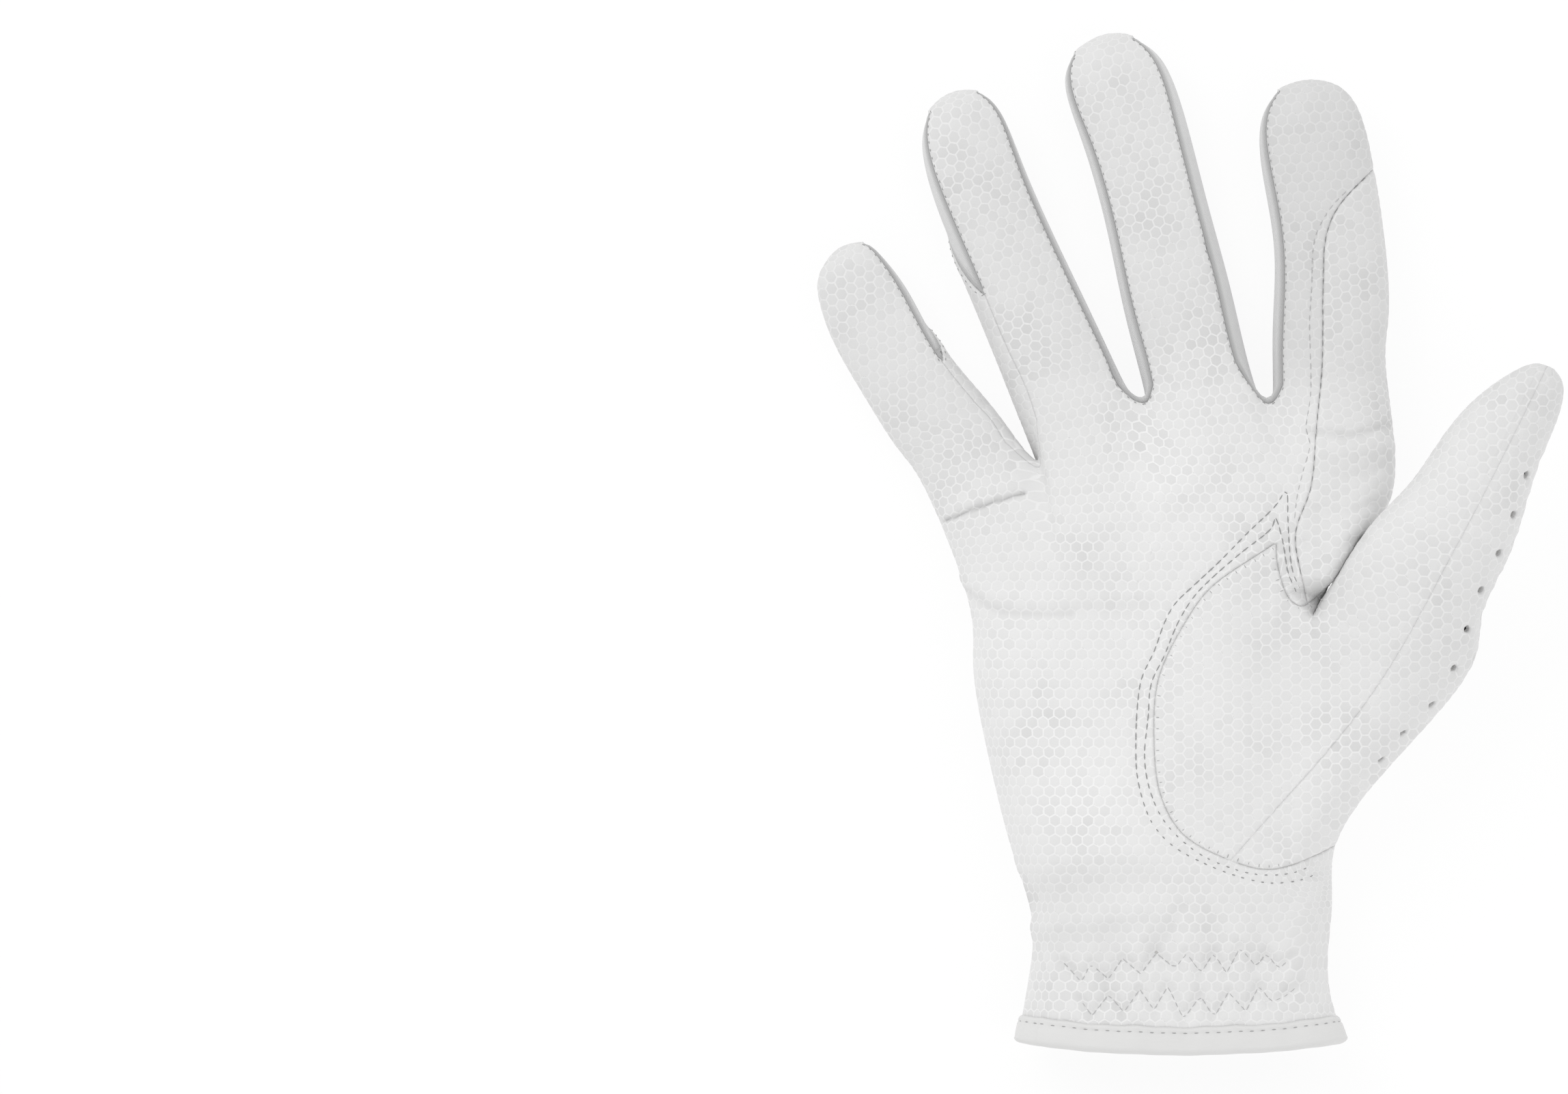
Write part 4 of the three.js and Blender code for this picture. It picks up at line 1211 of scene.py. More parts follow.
@dataclass(frozen=True)
class EmbossedLeather:
    """Thin pale leather pressed with a honeycomb of low pillows between lighter lines."""

    name: str
    shade: float = 0.765  # brightness of the cells
    line_gain: float = 1.085  # how much lighter the lines between them are
    pitch: float = 2.48
    # The share of cells with a crescent of painted shade.
    shaded_cell_share: float = 0.3

    def material(self) -> Material:
        """Builds the leather's material.

        Returns:
            The material.
        """
        sheet = NodeSheet(self.name)
        u, v, edge = sheet.flat()
        tone = Reading(sheet, sheet.attribute("tone").outputs["Fac"])
        spot = sheet.whole(u, v, 0.0)
        wander = sheet.noise(spot, 0.9, 2.0) - 0.5
        x, y = (u + wander * 0.35) / self.pitch, (v + wander * 0.25) / (self.pitch * math.sqrt(3))
        reaches, centres = [], []
        for offset in (0.0, 0.5):
            cx, cy = round(x - offset) + offset, round(y - offset) + offset
            a, b = abs(x - cx), abs(y - cy)
            reaches.append(a.most(a * 0.5 + b * 1.5))
            centres.append((cx, cy))
        border = (0.5 - reaches[0].least(reaches[1])) * self.pitch
        first = reaches[0] < reaches[1]
        cx, cy = (centres[0][i] * first + centres[1][i] * (1 - first) for i in range(2))
        cell = sheet.node("ShaderNodeTexWhiteNoise", inputs={"Vector": sheet.whole(cx, cy, 0.37)})
        chance = Reading(sheet, cell.outputs["Value"])
        line = 1 - border.eased(0.07, 0.24)
        patches = sheet.noise(spot, 0.05, 1.5).eased(0.38, 0.78)
        grain = sheet.noise(spot, 3.2, 4.0)
        # Painted shade: a dark crescent on the lower side of some cells, broken up by the grain.
        shaded_crescent = ((x - cx) * 0.6 + (y - cy) * 1.5).eased(-0.38, -0.5) * (1 - border.eased(0.1, 0.22))
        shaded_specks = shaded_crescent * (chance < self.shaded_cell_share) * grain.eased(0.45, 0.62)
        # Painted shade along the seams, where the leather turns down into them.
        seam = 1 - edge.eased(0.0, 0.55)
        shade = (tone * (1 + line * (self.line_gain - 1) * (patches * 0.4 + 0.6))
                 * (1 - (1 - line) * (patches * (0.03 + chance * 0.08) + chance * 0.035)) * (0.98 + grain * 0.04)
                 * (1 - shaded_specks * 0.2) * (1 - seam * 0.06))
        colour = sheet.tinted(shade * self.shade, (1.0, 0.999, 0.996))
        height = border.eased(0.02, 0.5) * 0.55 + grain * 0.12 + sheet.noise(spot, 9.0, 2.0) * 0.05
        roughness = 0.5 + grain * 0.16 - line * 0.05
        return sheet.finish(colour, roughness, sheet.bump(height, 0.35, 0.00016), Sheen_Weight=0.04,
                            Specular_IOR_Level=0.35)


@dataclass(frozen=True)
class GrainedLeather:
    """Plain pale leather with a fine natural grain, for the hand's back."""

    name: str
    shade: float = 0.74

    def material(self) -> Material:
        """Builds the leather's material.

        Returns:
            The material.
        """
        sheet = NodeSheet(self.name)
        place = sheet.place()
        _, _, edge = sheet.flat()
        pores = sheet.node("ShaderNodeTexVoronoi", {"feature": "DISTANCE_TO_EDGE"},
                           {"Vector": place, "Scale": 1100.0})
        pebble = Reading(sheet, pores.outputs["Distance"]).eased(0.0, 0.16)
        broad = sheet.noise(place, 38.0, 3.0)
        fine = sheet.noise(place, 900.0, 3.0)
        # Painted shade darkens the leather towards its seams.
        shade = ((0.965 + broad * 0.045) * (0.975 + pebble * 0.025) * (0.98 + fine * 0.03)
                 * (1 - (1 - edge.eased(0.0, 0.6)) * 0.12)) * self.shade
        colour = sheet.tinted(shade, (1.0, 0.997, 0.99))
        normal = sheet.bump(pebble * 0.5 + fine * 0.35 + broad * 0.3, 0.3, 0.00018)
        return sheet.finish(colour, 0.46 + fine * 0.16, normal, Sheen_Weight=0.03, Specular_IOR_Level=0.35)


@dataclass(frozen=True)
class BrushedKnit:
    """Soft stretch knit of the finger side strips: a nap over fine slanted ribs."""

    name: str
    shade: float = 0.68

    def material(self) -> Material:
        """Builds the knit's material.

        Returns:
            The material.
        """
        sheet = NodeSheet(self.name)
        u, v, edge = sheet.flat()
        place = sheet.place()
        drift = sheet.noise(place, 420.0, 2.0)
        wave = sheet.node("ShaderNodeTexWave", {"wave_type": "BANDS", "bands_direction": "X"},
                          {"Vector": sheet.whole(u + v * 0.55 + drift * 0.5, v, 0.0), "Scale": 0.52,
                           "Distortion": 1.2, "Detail": 2.0})
        ribs = Reading(sheet, wave.outputs["Fac"])
        nap = sheet.noise(place, 2600.0, 3.0)
        broad = sheet.noise(place, 120.0, 3.0)
        # Painted shade: the knit darkens next to the leather's edge, where it sinks under it.
        near = 1 - edge.eased(0.2, 2.4)
        shade = (0.93 + ribs * 0.05 + nap * 0.05 + broad * 0.06) * (1 - near * 0.36) * self.shade
        colour = sheet.tinted(shade, (1.0, 1.0, 1.0))
        normal = sheet.bump(ribs * 0.5 + nap * 0.7, 0.5, 0.00022)
        return sheet.finish(colour, 0.86 + nap * 0.08, normal, Sheen_Weight=0.25, Sheen_Roughness=0.6,
                            Specular_IOR_Level=0.2)


@dataclass(frozen=True)
class FoldedTape:
    """Smooth matt tape folded over the hem, with a faint lengthwise stretch."""

    name: str
    shade: float = 0.72

    def material(self) -> Material:
        """Builds the tape's material.

        Returns:
            The material.
        """
        sheet = NodeSheet(self.name)
        u, v, edge = sheet.flat()
        spot = sheet.whole(u * 0.25, v, 0.0)
        streak = sheet.noise(spot, 1.6, 3.0)
        fine = sheet.noise(sheet.whole(u, v, 0.0), 5.0, 3.0)
        # Painted shade: the tape darkens slightly towards its lip by the leather.
        shade = ((0.975 + streak * 0.03 + fine * 0.02) * (1 - (1 - edge.eased(0.0, 0.5)) * 0.05)) * self.shade
        colour = sheet.tinted(shade, (1.0, 0.998, 0.99))
        return sheet.finish(colour, 0.44 + fine * 0.18, sheet.bump(streak * 0.6 + fine * 0.4, 0.3, 0.00015),
                            Specular_IOR_Level=0.4)


@dataclass(frozen=True)
class SewingThread:
    """Twisted sewing thread, drawn darker than its own pale colour as painted shade of the dents it lies in."""

    name: str
    shade: float = 0.45

    def material(self) -> Material:
        """Builds the thread's material.

        Returns:
            The material.
        """
        sheet = NodeSheet(self.name)
        along, _, _ = sheet.flat()
        place = sheet.place()
        _, y, z = sheet.split(place)
        twist = sheet.node("ShaderNodeTexWave", {"wave_type": "BANDS", "bands_direction": "DIAGONAL"},
                           {"Vector": sheet.whole(along, z * 1000, y * 400), "Scale": 1.9, "Distortion": 0.4})
        ply = Reading(sheet, twist.outputs["Fac"])
        fuzz = sheet.noise(place, 3000.0, 2.0)
        colour = sheet.tinted((0.86 + ply * 0.14 + fuzz * 0.06) * self.shade, (1.0, 1.0, 1.0))
        return sheet.finish(colour, 0.6 + fuzz * 0.15, sheet.bump(ply, 0.3, 0.00006))


@dataclass(frozen=True)
class NappedLining:
    """The napped inner side of the leather."""

    name: str
    shade: float = 0.55

    def material(self) -> Material:
        """Builds the lining's material.

        Returns:
            The material.
        """
        sheet = NodeSheet(self.name)
        place = sheet.place()
        nap, broad = sheet.noise(place, 1800.0, 3.0), sheet.noise(place, 60.0, 3.0)
        colour = sheet.tinted((0.84 + nap * 0.12 + broad * 0.1) * self.shade, (1.0, 0.99, 0.97))
        return sheet.finish(colour, 0.9 + nap * 0.06, sheet.bump(nap, 0.4, 0.0002), Sheen_Weight=0.2)


# ---------------------------------------------------------------- making pieces
@dataclass
class Workshop:
    """Turns surfaces in millimetres into Blender pieces in the row's frame."""

    finishes: dict[str, Material] = field(default_factory=dict)

    def material(self, finish: object) -> Material:
        """The material of a finish, made once.

        Args:
            finish: the finish.

        Returns:
            Its material.
        """
        if finish.name not in self.finishes:
            self.finishes[finish.name] = finish.material()
        return self.finishes[finish.name]

    def piece(self, name: str, points: Array, faces: Array, materials: Sequence[Material],
              slot: str, nodes: Sequence[str] = (), flat: Array | None = None, tone: Array | None = None,
              which: Array | None = None, crisp: Array | None = None) -> Object:
        """Makes one piece that rides on the glove.

        Args:
            name: the piece's name.
            points: its points, mm.
            faces: its faces, four corners a row; a triangle repeats its last corner.
            materials: its materials.
            slot: not used.
            nodes: the solids it stands for.
            flat: flat-pattern coordinates and edge distance of each point.
            tone: brightness of each point.
            which: the material of each face.
            crisp: whether each face is shaded flat.

        Returns:
            The piece.
        """
        mesh = bpy.data.meshes.new(name)
        triangle = faces[:, 2] == faces[:, 3]
        corners = [face[:3] if short else face for face, short in zip(faces.tolist(), triangle)]
        mesh.from_pydata(((points + SHIFT) * MM).tolist(), [], corners)
        smooth = np.ones(len(mesh.polygons), bool) if crisp is None else ~crisp
        mesh.polygons.foreach_set("use_smooth", smooth)
        for material in materials:
            mesh.materials.append(material)
        if which is not None:
            mesh.polygons.foreach_set("material_index", which.astype(np.int32))
        if flat is not None:
            mesh.attributes.new("flat", "FLOAT_VECTOR", "POINT").data.foreach_set(
                "vector", flat.astype(np.float32).ravel())
        if tone is not None:
            mesh.attributes.new("tone", "FLOAT", "POINT").data.foreach_set("value", tone.astype(np.float32))
        mesh.update()
        made = bpy.data.objects.new(name, mesh)
        bpy.context.scene.collection.objects.link(made)
        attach(made, "root")
        if nodes:
            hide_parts(*nodes)
        log.info("%s: %d points, %d faces", name, len(points), len(faces))
        return made


@dataclass(frozen=True)
class Fold:
    """A crease or soft ridge of the leather: a line, its half-width and its height, mm."""

    line: Sequence
    width: float
    height: float
    crease_shade: float = 0.0  # painted shade: how much darker the crease is drawn

    def path(self) -> Array:
        """The line as close points."""
        return smooth_line(self.line, 24)


# A fold's fourth number is painted shade along its crease.
FOLDS = (
    Fold(((-53.5, 117.4), (-44.3, 121), (-36, 123.6)), 0.42, -0.9, 0.16),
    Fold(((-50.8, 120.2), (-43.5, 123.3), (-37.5, 125.6)), 1.6, 0.45),
    Fold(((-48.4, 101.8), (-45, 98.9), (-41.5, 97.3), (-33, 96.6), (-26, 96.8)), 0.9, -0.4, 0.05),
    Fold(((-49, 104.6), (-44.5, 101.6), (-40, 100.2), (-28, 100), (-10, 100.6)), 1.9, 0.5),
    Fold(((-26, 96.8), (-15, 97.6), (-5, 98.5)), 2.4, -0.3),
    Fold(((27.6, 137), (35.4, 136), (44.5, 138.5)), 0.9, -0.7, 0.08),
    Fold(((27.6, 133), (36, 132.6), (44, 134)), 1.8, 0.4),
    Fold(((28.5, 128), (35, 127), (43, 129)), 1.4, -0.35),
    Fold(((28, 148), (36, 149.5), (44, 148)), 1.6, -0.3),
    Fold(((27, 120), (33, 118.6), (40.5, 121)), 1.3, -0.45),
    Fold(((25.5, 112.5), (31, 110.6), (37.5, 113.5)), 1.2, -0.4),
    Fold(((-33.5, 27.7), (-22, 29.5), (-11.2, 31.8)), 2.6, 0.7),
    Fold(((-36, 33.5), (-22, 36.3), (-8, 37.8)), 3.2, -0.65),
    Fold(((-38, 41), (-24, 43.5), (-10, 44.5)), 2.8, 0.35),
    Fold(((-7.3, 22.7), (-3, 27.5), (-1.3, 31.8)), 1.7, -0.5),
    Fold(((-13, 22), (-9, 27), (-5.5, 31)), 1.8, 0.35),
    Fold(((-27, 139), (-18, 136.5), (-11, 139.5)), 1.6, -0.35),
    Fold(((-30, 150), (-21, 148.5), (-13, 151)), 2, -0.3),
    Fold(((-6, 148), (2, 146.5), (12, 149.5)), 2, -0.35),
    Fold(((-9, 176), (-2, 177.5), (6, 177)), 1.8, -0.3),
    Fold(((-55, 137), (-50, 141), (-44.5, 143.5)), 1.8, -0.3),
    Fold(((10, 128), (2, 120), (-8, 114)), 4, -0.4),
    Fold(((-20, 118), (-10, 121), (0, 126)), 4, 0.35),
    Fold(((34, 96), (44, 104), (50, 114)), 3.5, 0.3),
)

# Soft patches of painted light and shade, with the leather's uneven tone mixed in.
LIGHT_AND_TONE_PATCHES = (  # across, along, radius, how much lighter
    (-14, 55, 34, 0.045), (-6, 100, 20, 0.03), (76, 150, 18, -0.05),
    (-23, 57, 13, 0.05), (-4.6, 127, 11, 0.035), (14, 92, 14, -0.03), (1, 60, 12, -0.025),
    (-26, 33.5, 12, -0.045), (-20, 104, 9, -0.03), (-40, 88, 14, 0.02), (28, 60, 14, 0.02),
    (-30, 136, 9, -0.03), (-10, 160, 8, -0.03), (30, 105, 8, -0.05), (36, 150, 9, -0.03),
    (79, 168, 16, -0.08), (2, 200, 12, 0.03), (-60, 160, 9, 0.03), (58, 95, 18, -0.02),
)


@dataclass(frozen=True)
class StitchLine:
    """A line of stitches over the palm side: its knots, the stitches and the dip they draw, mm."""

    name: str
    knots: Sequence
    pitch: float
    length: float
    thickness: float
    dip: float
    width: float
    shade: float
    cornered: bool = False
    drawn: Array | None = None  # its close points, where another seam gives them

    def path(self) -> Array:
        """The line as close points.

        Returns:
            The points.
        """
        if self.drawn is not None:
            return self.drawn
        if self.cornered:
            knots = np.asarray(self.knots, float)
            share = np.linspace(0, len(knots) - 1, 12 * (len(knots) - 1) + 1)
            return np.stack([np.interp(share, np.arange(len(knots)), knots[:, i]) for i in range(2)], 1)
        return smooth_line(self.knots, 10 * len(self.knots))


# The threads' shades are darker than the pale thread itself: painted shade of the dents and holes they sink into.
STITCH_LINES = (
    StitchLine("stitches_palm_outer", PALM_STITCH_OUTER, 2.2, 1.8, 0.11, 0.22, 0.7, 0.3),
    StitchLine("stitches_palm_inner", PALM_STITCH_INNER, 2.2, 1.8, 0.11, 0.22, 0.7, 0.3),
    StitchLine("stitches_index_ridge", INDEX_RIDGE, 2.1, 1.7, 0.08, 0.22, 0.6, 0.5),
    StitchLine("zigzag_upper", ZIGZAG_UPPER, 1.9, 1.6, 0.08, 0.85, 1.2, 0.52, True),
    StitchLine("zigzag_lower", ZIGZAG_LOWER, 1.9, 1.6, 0.08, 0.85, 1.2, 0.52, True),
)


@dataclass
class Stitching:
    """Sews rows of small thread stitches onto the leather."""

    shop: Workshop
    panels: dict[str, Patch]
    sides: int = 6
    steps: int = 5
    sink: float = 0.1
    stray: float = 0.12  # how far a stitch may start from its place
    fine_thread: float = 0.09
    above: float = 90.0  # over the glove, mm
    lowest: float = 3.0  # what lies lower isn't the upper side

    def __post_init__(self) -> None:
        """Gathers the leather's skins as one surface to sew on."""
        base, points, faces = 0, [], []
        for patch in self.panels.values():
            points.append(patch.points)
            faces.append(patch.faces + base)
            base += len(patch.points)
        corners = [list(dict.fromkeys(face)) for face in np.vstack(faces).tolist()]
        self.surface = BVHTree.FromPolygons(np.vstack(points).tolist(), corners)
        self.chance = np.random.default_rng(7)

    def over(self, place: Array) -> tuple[Array, Array] | None:
        """The leather's upper side over a place, and which way it faces."""
        hit, normal, _, _ = self.surface.ray_cast(Vector((place[0], place[1], self.above)), Vector((0, 0, -1)))
        return None if hit is None or hit.z < self.lowest else (np.array(hit), np.array(normal))

    def nearest(self, place: Array) -> tuple[Array, Array]:
        """The leather nearest to a place, and which way it faces."""
        hit, normal, _, _ = self.surface.find_nearest(Vector(place))
        return np.array(hit), np.array(normal)

    def stations(self, line: Array, pitch: float, length: float) -> list[tuple[Array, Array]]:
        """The two ends of each stitch along a line, with small irregularities.

        Args:
            line: its points.
            pitch: from stitch to stitch.
            length: a stitch's length.

        Returns:
            The pairs of places.
        """
        reach = lengths_along(line)

        def at(s: float) -> Array:
            """The point at a length along the line."""
            return np.array([np.interp(s, reach, line[:, i]) for i in range(line.shape[1])])

        made = []
        for s in np.arange(0.3, reach[-1] - length, pitch):
            start = s + self.chance.uniform(-self.stray, self.stray)
            made.append((at(start), at(start + length * self.chance.uniform(0.85, 1.12))))
        return made

    def sew(self, name: str, ends: Sequence[tuple], thickness: float, shade: float) -> Object:
        """Makes a row of stitches as one piece.

        Args:
            name: the piece's name.
            ends: each stitch's two ends, with the normals there.
            thickness: the thread's radius, mm.
            shade: the thread's brightness, darkened as painted shade.

        Returns:
            The piece.
        """
        first = np.array([e[0][0] for e in ends])
        last = np.array([e[1][0] for e in ends])
        up = np.array([e[0][1] + e[1][1] for e in ends])
        up /= np.linalg.norm(up, axis=1, keepdims=True)
        along = last - first
        along /= np.maximum(np.linalg.norm(along, axis=1, keepdims=True), 1e-9)
        side = np.cross(along, up)
        t = np.linspace(0, 1, self.steps)
        bow = np.sin(np.pi * t)
        middle = (first[:, None] * (1 - t)[:, None] + last[:, None] * t[:, None]
                  + up[:, None] * ((self.sink + 0.1) * bow - self.sink)[:, None])
        turn = 2 * np.pi * np.arange(self.sides) / self.sides
        radius = thickness * (0.72 + 0.28 * bow)
        ring = (side[:, None, None] * np.cos(turn)[:, None] + up[:, None, None] * np.sin(turn)[:, None])
        points = middle[:, :, None] + ring * radius[:, None, None]
        count, n, m = len(first), self.steps, self.sides
        i, j = grid(np.arange(n - 1), np.arange(m))
        k = (j + 1) % m
        tube = np.stack([i * m + j, i * m + k, (i + 1) * m + k, (i + 1) * m + j], 1)
        low, high = 0, (n - 1) * m
        caps = np.array([(low, low + 3, low + 2, low + 1), (low, low + 5, low + 4, low + 3),
                         (high, high + 1, high + 2, high + 3), (high, high + 3, high + 4, high + 5)])
        one = np.vstack([tube, caps])
        faces = (np.arange(count)[:, None, None] * n * m + one).reshape(-1, 4)
        flat = np.zeros((count, n, m, 3))
        flat[..., 0] = (np.arange(count)[:, None] * 2.0 + t * 1.2)[:, :, None]
        points = points.reshape(-1, 3)
        points[:, 2] = np.maximum(points[:, 2], 0.02)
        return self.shop.piece(name, points, faces,
                               [self.shop.material(SewingThread(f"thread_{round(shade * 100)}", shade))],
                               "palm_leather", (), flat.reshape(-1, 3))

    def over_palm(self, line: StitchLine) -> Object:
        """Sews one of the stitch lines that are seen from above.

        Args:
            line: the line of stitches.

        Returns:
            The piece.
        """
        ends = []
        for a, b in self.stations(line.path(), line.pitch, line.length):
            drawn = 1.0 if line.cornered else 0.45 + 0.55 * float(ease(a[1], 48, 66))  # pulled in near the cuff
            ends.append((self.over(a), self.over(a + (b - a) * drawn)))
        return self.sew(line.name, [e for e in ends if e[0] and e[1]], line.thickness, line.shade)

    def ticks(self, name: str, line: Array, pitch: float, reach: float, shade: float) -> Object:
        """Sews short stitches across a seam, on the side to the left of its line.

        Args:
            name: the piece's name.
            line: the seam.
            pitch: from stitch to stitch.
            reach: how far one goes.
            shade: the thread's brightness.

        Returns:
            The piece.
        """
        ends = []
        for a, b in self.stations(line, pitch, 0.3):
            along = (b - a) / max(np.linalg.norm(b - a), 1e-9)
            across = np.array([along[1], -along[0]])
            pair = (self.over(a + across * 0.2), self.over(a + across * reach))
            if pair[0] and pair[1]:
                ends.append(pair)
        return self.sew(name, ends, self.fine_thread, shade)

    def edging(self, name: str, strip: Patch) -> Object:
        """Sews small stitches along the leather edges beside a knit strip.

        Args:
            name: the piece's name.
            strip: the strip's surface.

        Returns:
            The piece.
        """
        ends = []
        for chain in strip.loops():
            ring = strip.points[chain + chain[:1]]
            normals = strip.normals[chain + chain[:1]]
            reach = lengths_along(ring)
            for s in np.arange(0.5, reach[-1] - 1, 1.8):
                pair = []
                for at in (s, s + 0.75):
                    p = np.array([np.interp(at, reach, ring[:, i]) for i in range(3)])
                    n = np.array([np.interp(at, reach, normals[:, i]) for i in range(3)])
                    q = np.array([np.interp(at + 0.2, reach, ring[:, i]) for i in range(3)])
                    into = np.cross(n, q - p)
                    pair.append(self.nearest(p - into / max(np.linalg.norm(into), 1e-9) * 0.62))
                ends.append(tuple(pair))
        # The dark thread is painted shade of the stitches along the knit's edge.
        return self.sew(name, ends, self.fine_thread, 0.36)


@dataclass
class Leathers:
    """The glove's leather panels, cut from the smooth form along their seams."""

    form: Cage
    shop: Workshop
    fine: float = 0.56
    plain_step: float = 1.1  # the faces' side on the plain back, mm
    lining_step: float = 2.6
    pillow: float = 0.09
    roll: float = 0.45
    seam_dip: float = 0.42
    thumb_dip: float = 0.07
    index_dip: float = 0.34
    upward: float = 0.15  # how far a face that is seen from above turns up, at least
    inset: float = 5.0  # an edge distance that keeps the seam's shade off
    panels: dict[str, Patch] = field(default_factory=dict)

    def __post_init__(self) -> None:
        """Draws the seams that are cut across the smooth form."""
        self.moon_edge = np.vstack([seam_line(HALF_MOON, 110), seam_line(QUIRK, 16)[1:]])
        self.thumb_seam = seam_line(THUMB_SEAM, 40)
        self.index_seam = seam_line(INDEX_SEAM, 80)
        mine, theirs = (np.array(end[0]) for end in KNIT_ENDS)
        low, high = STALLS[0].side[:2], STALLS[1].side[:2]
        self.gusset_ground = np.array([mine + low * 6, mine - low * 3.5, (-39.5, 122.5), (-28.0, 122.5),
                                       (-29.5, 138.0), theirs + high * 3.5, theirs - high * 6])

    def moon(self, p: Array) -> Array:
        """Signed distance into the half-moon that the thumb's leather fills."""
        edge = self.moon_edge
        return inside_distance(p[:, :2], np.vstack([edge, [(FAR, edge[-1, 1]), (FAR, edge[0, 1])]]))

    def index(self, p: Array) -> Array:
        """Signed distance into the index finger's outer panel.

        Args:
            p: points of the glove.

        Returns:
            The distances.
        """
        seam = self.index_seam
        corner = (FAR, seam[-1, 1] + 0.35 * (FAR - seam[-1, 0]))
        return inside_distance(p[:, :2], np.vstack([seam, [corner, (FAR, seam[0, 1])]]))

    def thumb_front(self, p: Array) -> Array:
        """How far inside the thumb's front a point lies, below zero for its back.

        Args:
            p: points of the glove.

        Returns:
            The distances.
        """
        seam, start = self.thumb_seam, self.thumb_seam[0]
        beyond = seam[-1] + THUMB_OUT[:2] * 8
        inner = [thumb_place(row)[:2] - THUMB_SIDE[:2] * row[2] * THUMB_BREADTH for row in THUMB_ROWS[::-1]]
        outline = np.vstack([seam, [beyond], inner, [(-HALF_PALM, THUMB_BASE[1]), (-HALF_PALM, start[1]),
                                                     (start[0], 0)]])
        front = np.minimum(inside_distance(p[:, :2], outline), p[:, 2] + REST_FLAT - thumb_middle(p))
        edge = self.moon_edge
        edge = edge[(edge[:, 0] < start[0]) | (edge[:, 1] > start[1] + 30)]
        palm = np.minimum(inside_distance(p[:, :2], edge), p[:, 2] - PALM_THICKNESS * 0.4)
        return np.maximum(front, palm)

    def vents(self, p: Array, facing: Array) -> Array:
        """Distance outside the nearest air hole of the thumb's back.

        Args:
            p: points of the thumb.
            facing: which way the leather faces there.

        Returns:
            The distances, negative in a hole.
        """
        nearest = np.full(len(p), BEYOND)
        for angle, start in VENT_ROWS:
            turn = math.radians(angle)
            for i in range(VENTS_A_ROW):
                along = start + i * VENT_PITCH / THUMB_LENGTH
                row = [np.interp(along, THUMB_ROWS[:, 0], THUMB_ROWS[:, c]) for c in range(5)]
                place = thumb_point(row, turn) - (0, 0, REST_FLAT)
                aim = THUMB_SIDE * math.cos(turn) / row[2] / THUMB_BREADTH
                aim = aim + np.array([0, 0, math.sin(turn) / row[3] / THUMB_THICKNESS])
                nearest = np.minimum(nearest, self._hole(p, place, aim / np.linalg.norm(aim), 4))
        upper = np.nonzero(facing[:, 2] > self.upward)[0]
        for x, y in LOW_VENTS:
            gap = np.hypot(p[upper, 0] - x * HALF_PALM, p[upper, 1] - y * PALM_LENGTH)
            middle = upper[gap.argmin()]
            nearest = np.minimum(nearest, self._hole(p, p[middle], facing[middle], 3))
        return nearest

    @staticmethod
    def _hole(p: Array, place: Array, aim: Array, depth: float) -> Array:
        """Distance outside one air hole.

        Args:
            p: the points asked about.
            place: the hole's middle.
            aim: the way it is punched.
            depth: how far it reaches either way, mm.

        Returns:
            The distances, BEYOND for points past its reach.
        """
        rel = p - place
        height = rel @ aim
        radius = np.linalg.norm(rel - height[:, None] * aim, axis=1) - VENT_WORN / 2
        return np.where(np.abs(height) < depth, radius, BEYOND)

    def thumb_flat(self, p: Array) -> Array:
        """Flat-pattern coordinates of the thumb's leather, unrolled round the thumb.

        Args:
            p: points of the thumb.

        Returns:
            Two coordinates a point, mm.
        """
        rel = p - THUMB_BASE
        along, across = rel @ THUMB_OUT, rel @ THUMB_SIDE
        share = along / THUMB_LENGTH
        drift, breadth, depth, height = (np.interp(share, THUMB_ROWS[:, 0], THUMB_ROWS[:, c])
                                         for c in (1, 2, 3, 4))
        half, deep, centre = breadth * THUMB_BREADTH / 2, depth * THUMB_THICKNESS / 2, drift * THUMB_BREADTH
        turn = np.pi / 2 - np.arctan2((p[:, 2] + REST_FLAT - height * PALM_THICKNESS) / deep,
                                      (across - centre) / half)
        turn = np.where(turn > np.pi, turn - 2 * np.pi, turn)
        away = (p[:, :2] - WEB_FOLD[0]) @ np.array(WEB_FOLD[2])
        blend = ease(share, 0.08, 0.32) * ease(away, -1, 5)
        round_it = centre + (half + deep) / 2 * turn
        plain = across + np.maximum(0, 14 - p[:, 2]) * ease(across, 0, 8)  # down the outer side
        return np.stack([plain * (1 - blend) + round_it * blend, along], 1)

    def tone(self, p: Array) -> Array:
        """How light the leather is at each point: broad soft patches of painted light and shade mixed with its uneven
        tone, the fingers' tone and painted shade in creases.

        Args:
            p: points of the leather.

        Returns:
            The brightness, 1 where it is plain.
        """
        value = np.ones(len(p))
        # Soft patches of painted light and shade, mixed with uneven tone.
        for x, y, radius, gain in LIGHT_AND_TONE_PATCHES:
            value += gain * np.exp(-((p[:, 0] - x) ** 2 + (p[:, 1] - y) ** 2) / radius ** 2)
        # Painted shade along the creases.
        for fold in FOLDS:
            if fold.crease_shade:
                distance, _ = line_distance(p[:, :2], fold.path())
                value -= fold.crease_shade * np.exp(-(distance / fold.width) ** 2) * (p[:, 2] > 6)
        for stall in STALLS:
            share = (p - stall.base) @ stall.out / stall.length
            near = 1 - ease(np.abs((p - stall.base) @ stall.side), stall.breadth * 0.5, stall.breadth * 0.8)
            value += (stall.tone - 1) * ease(share, -0.02, 0.25) * near
        return value

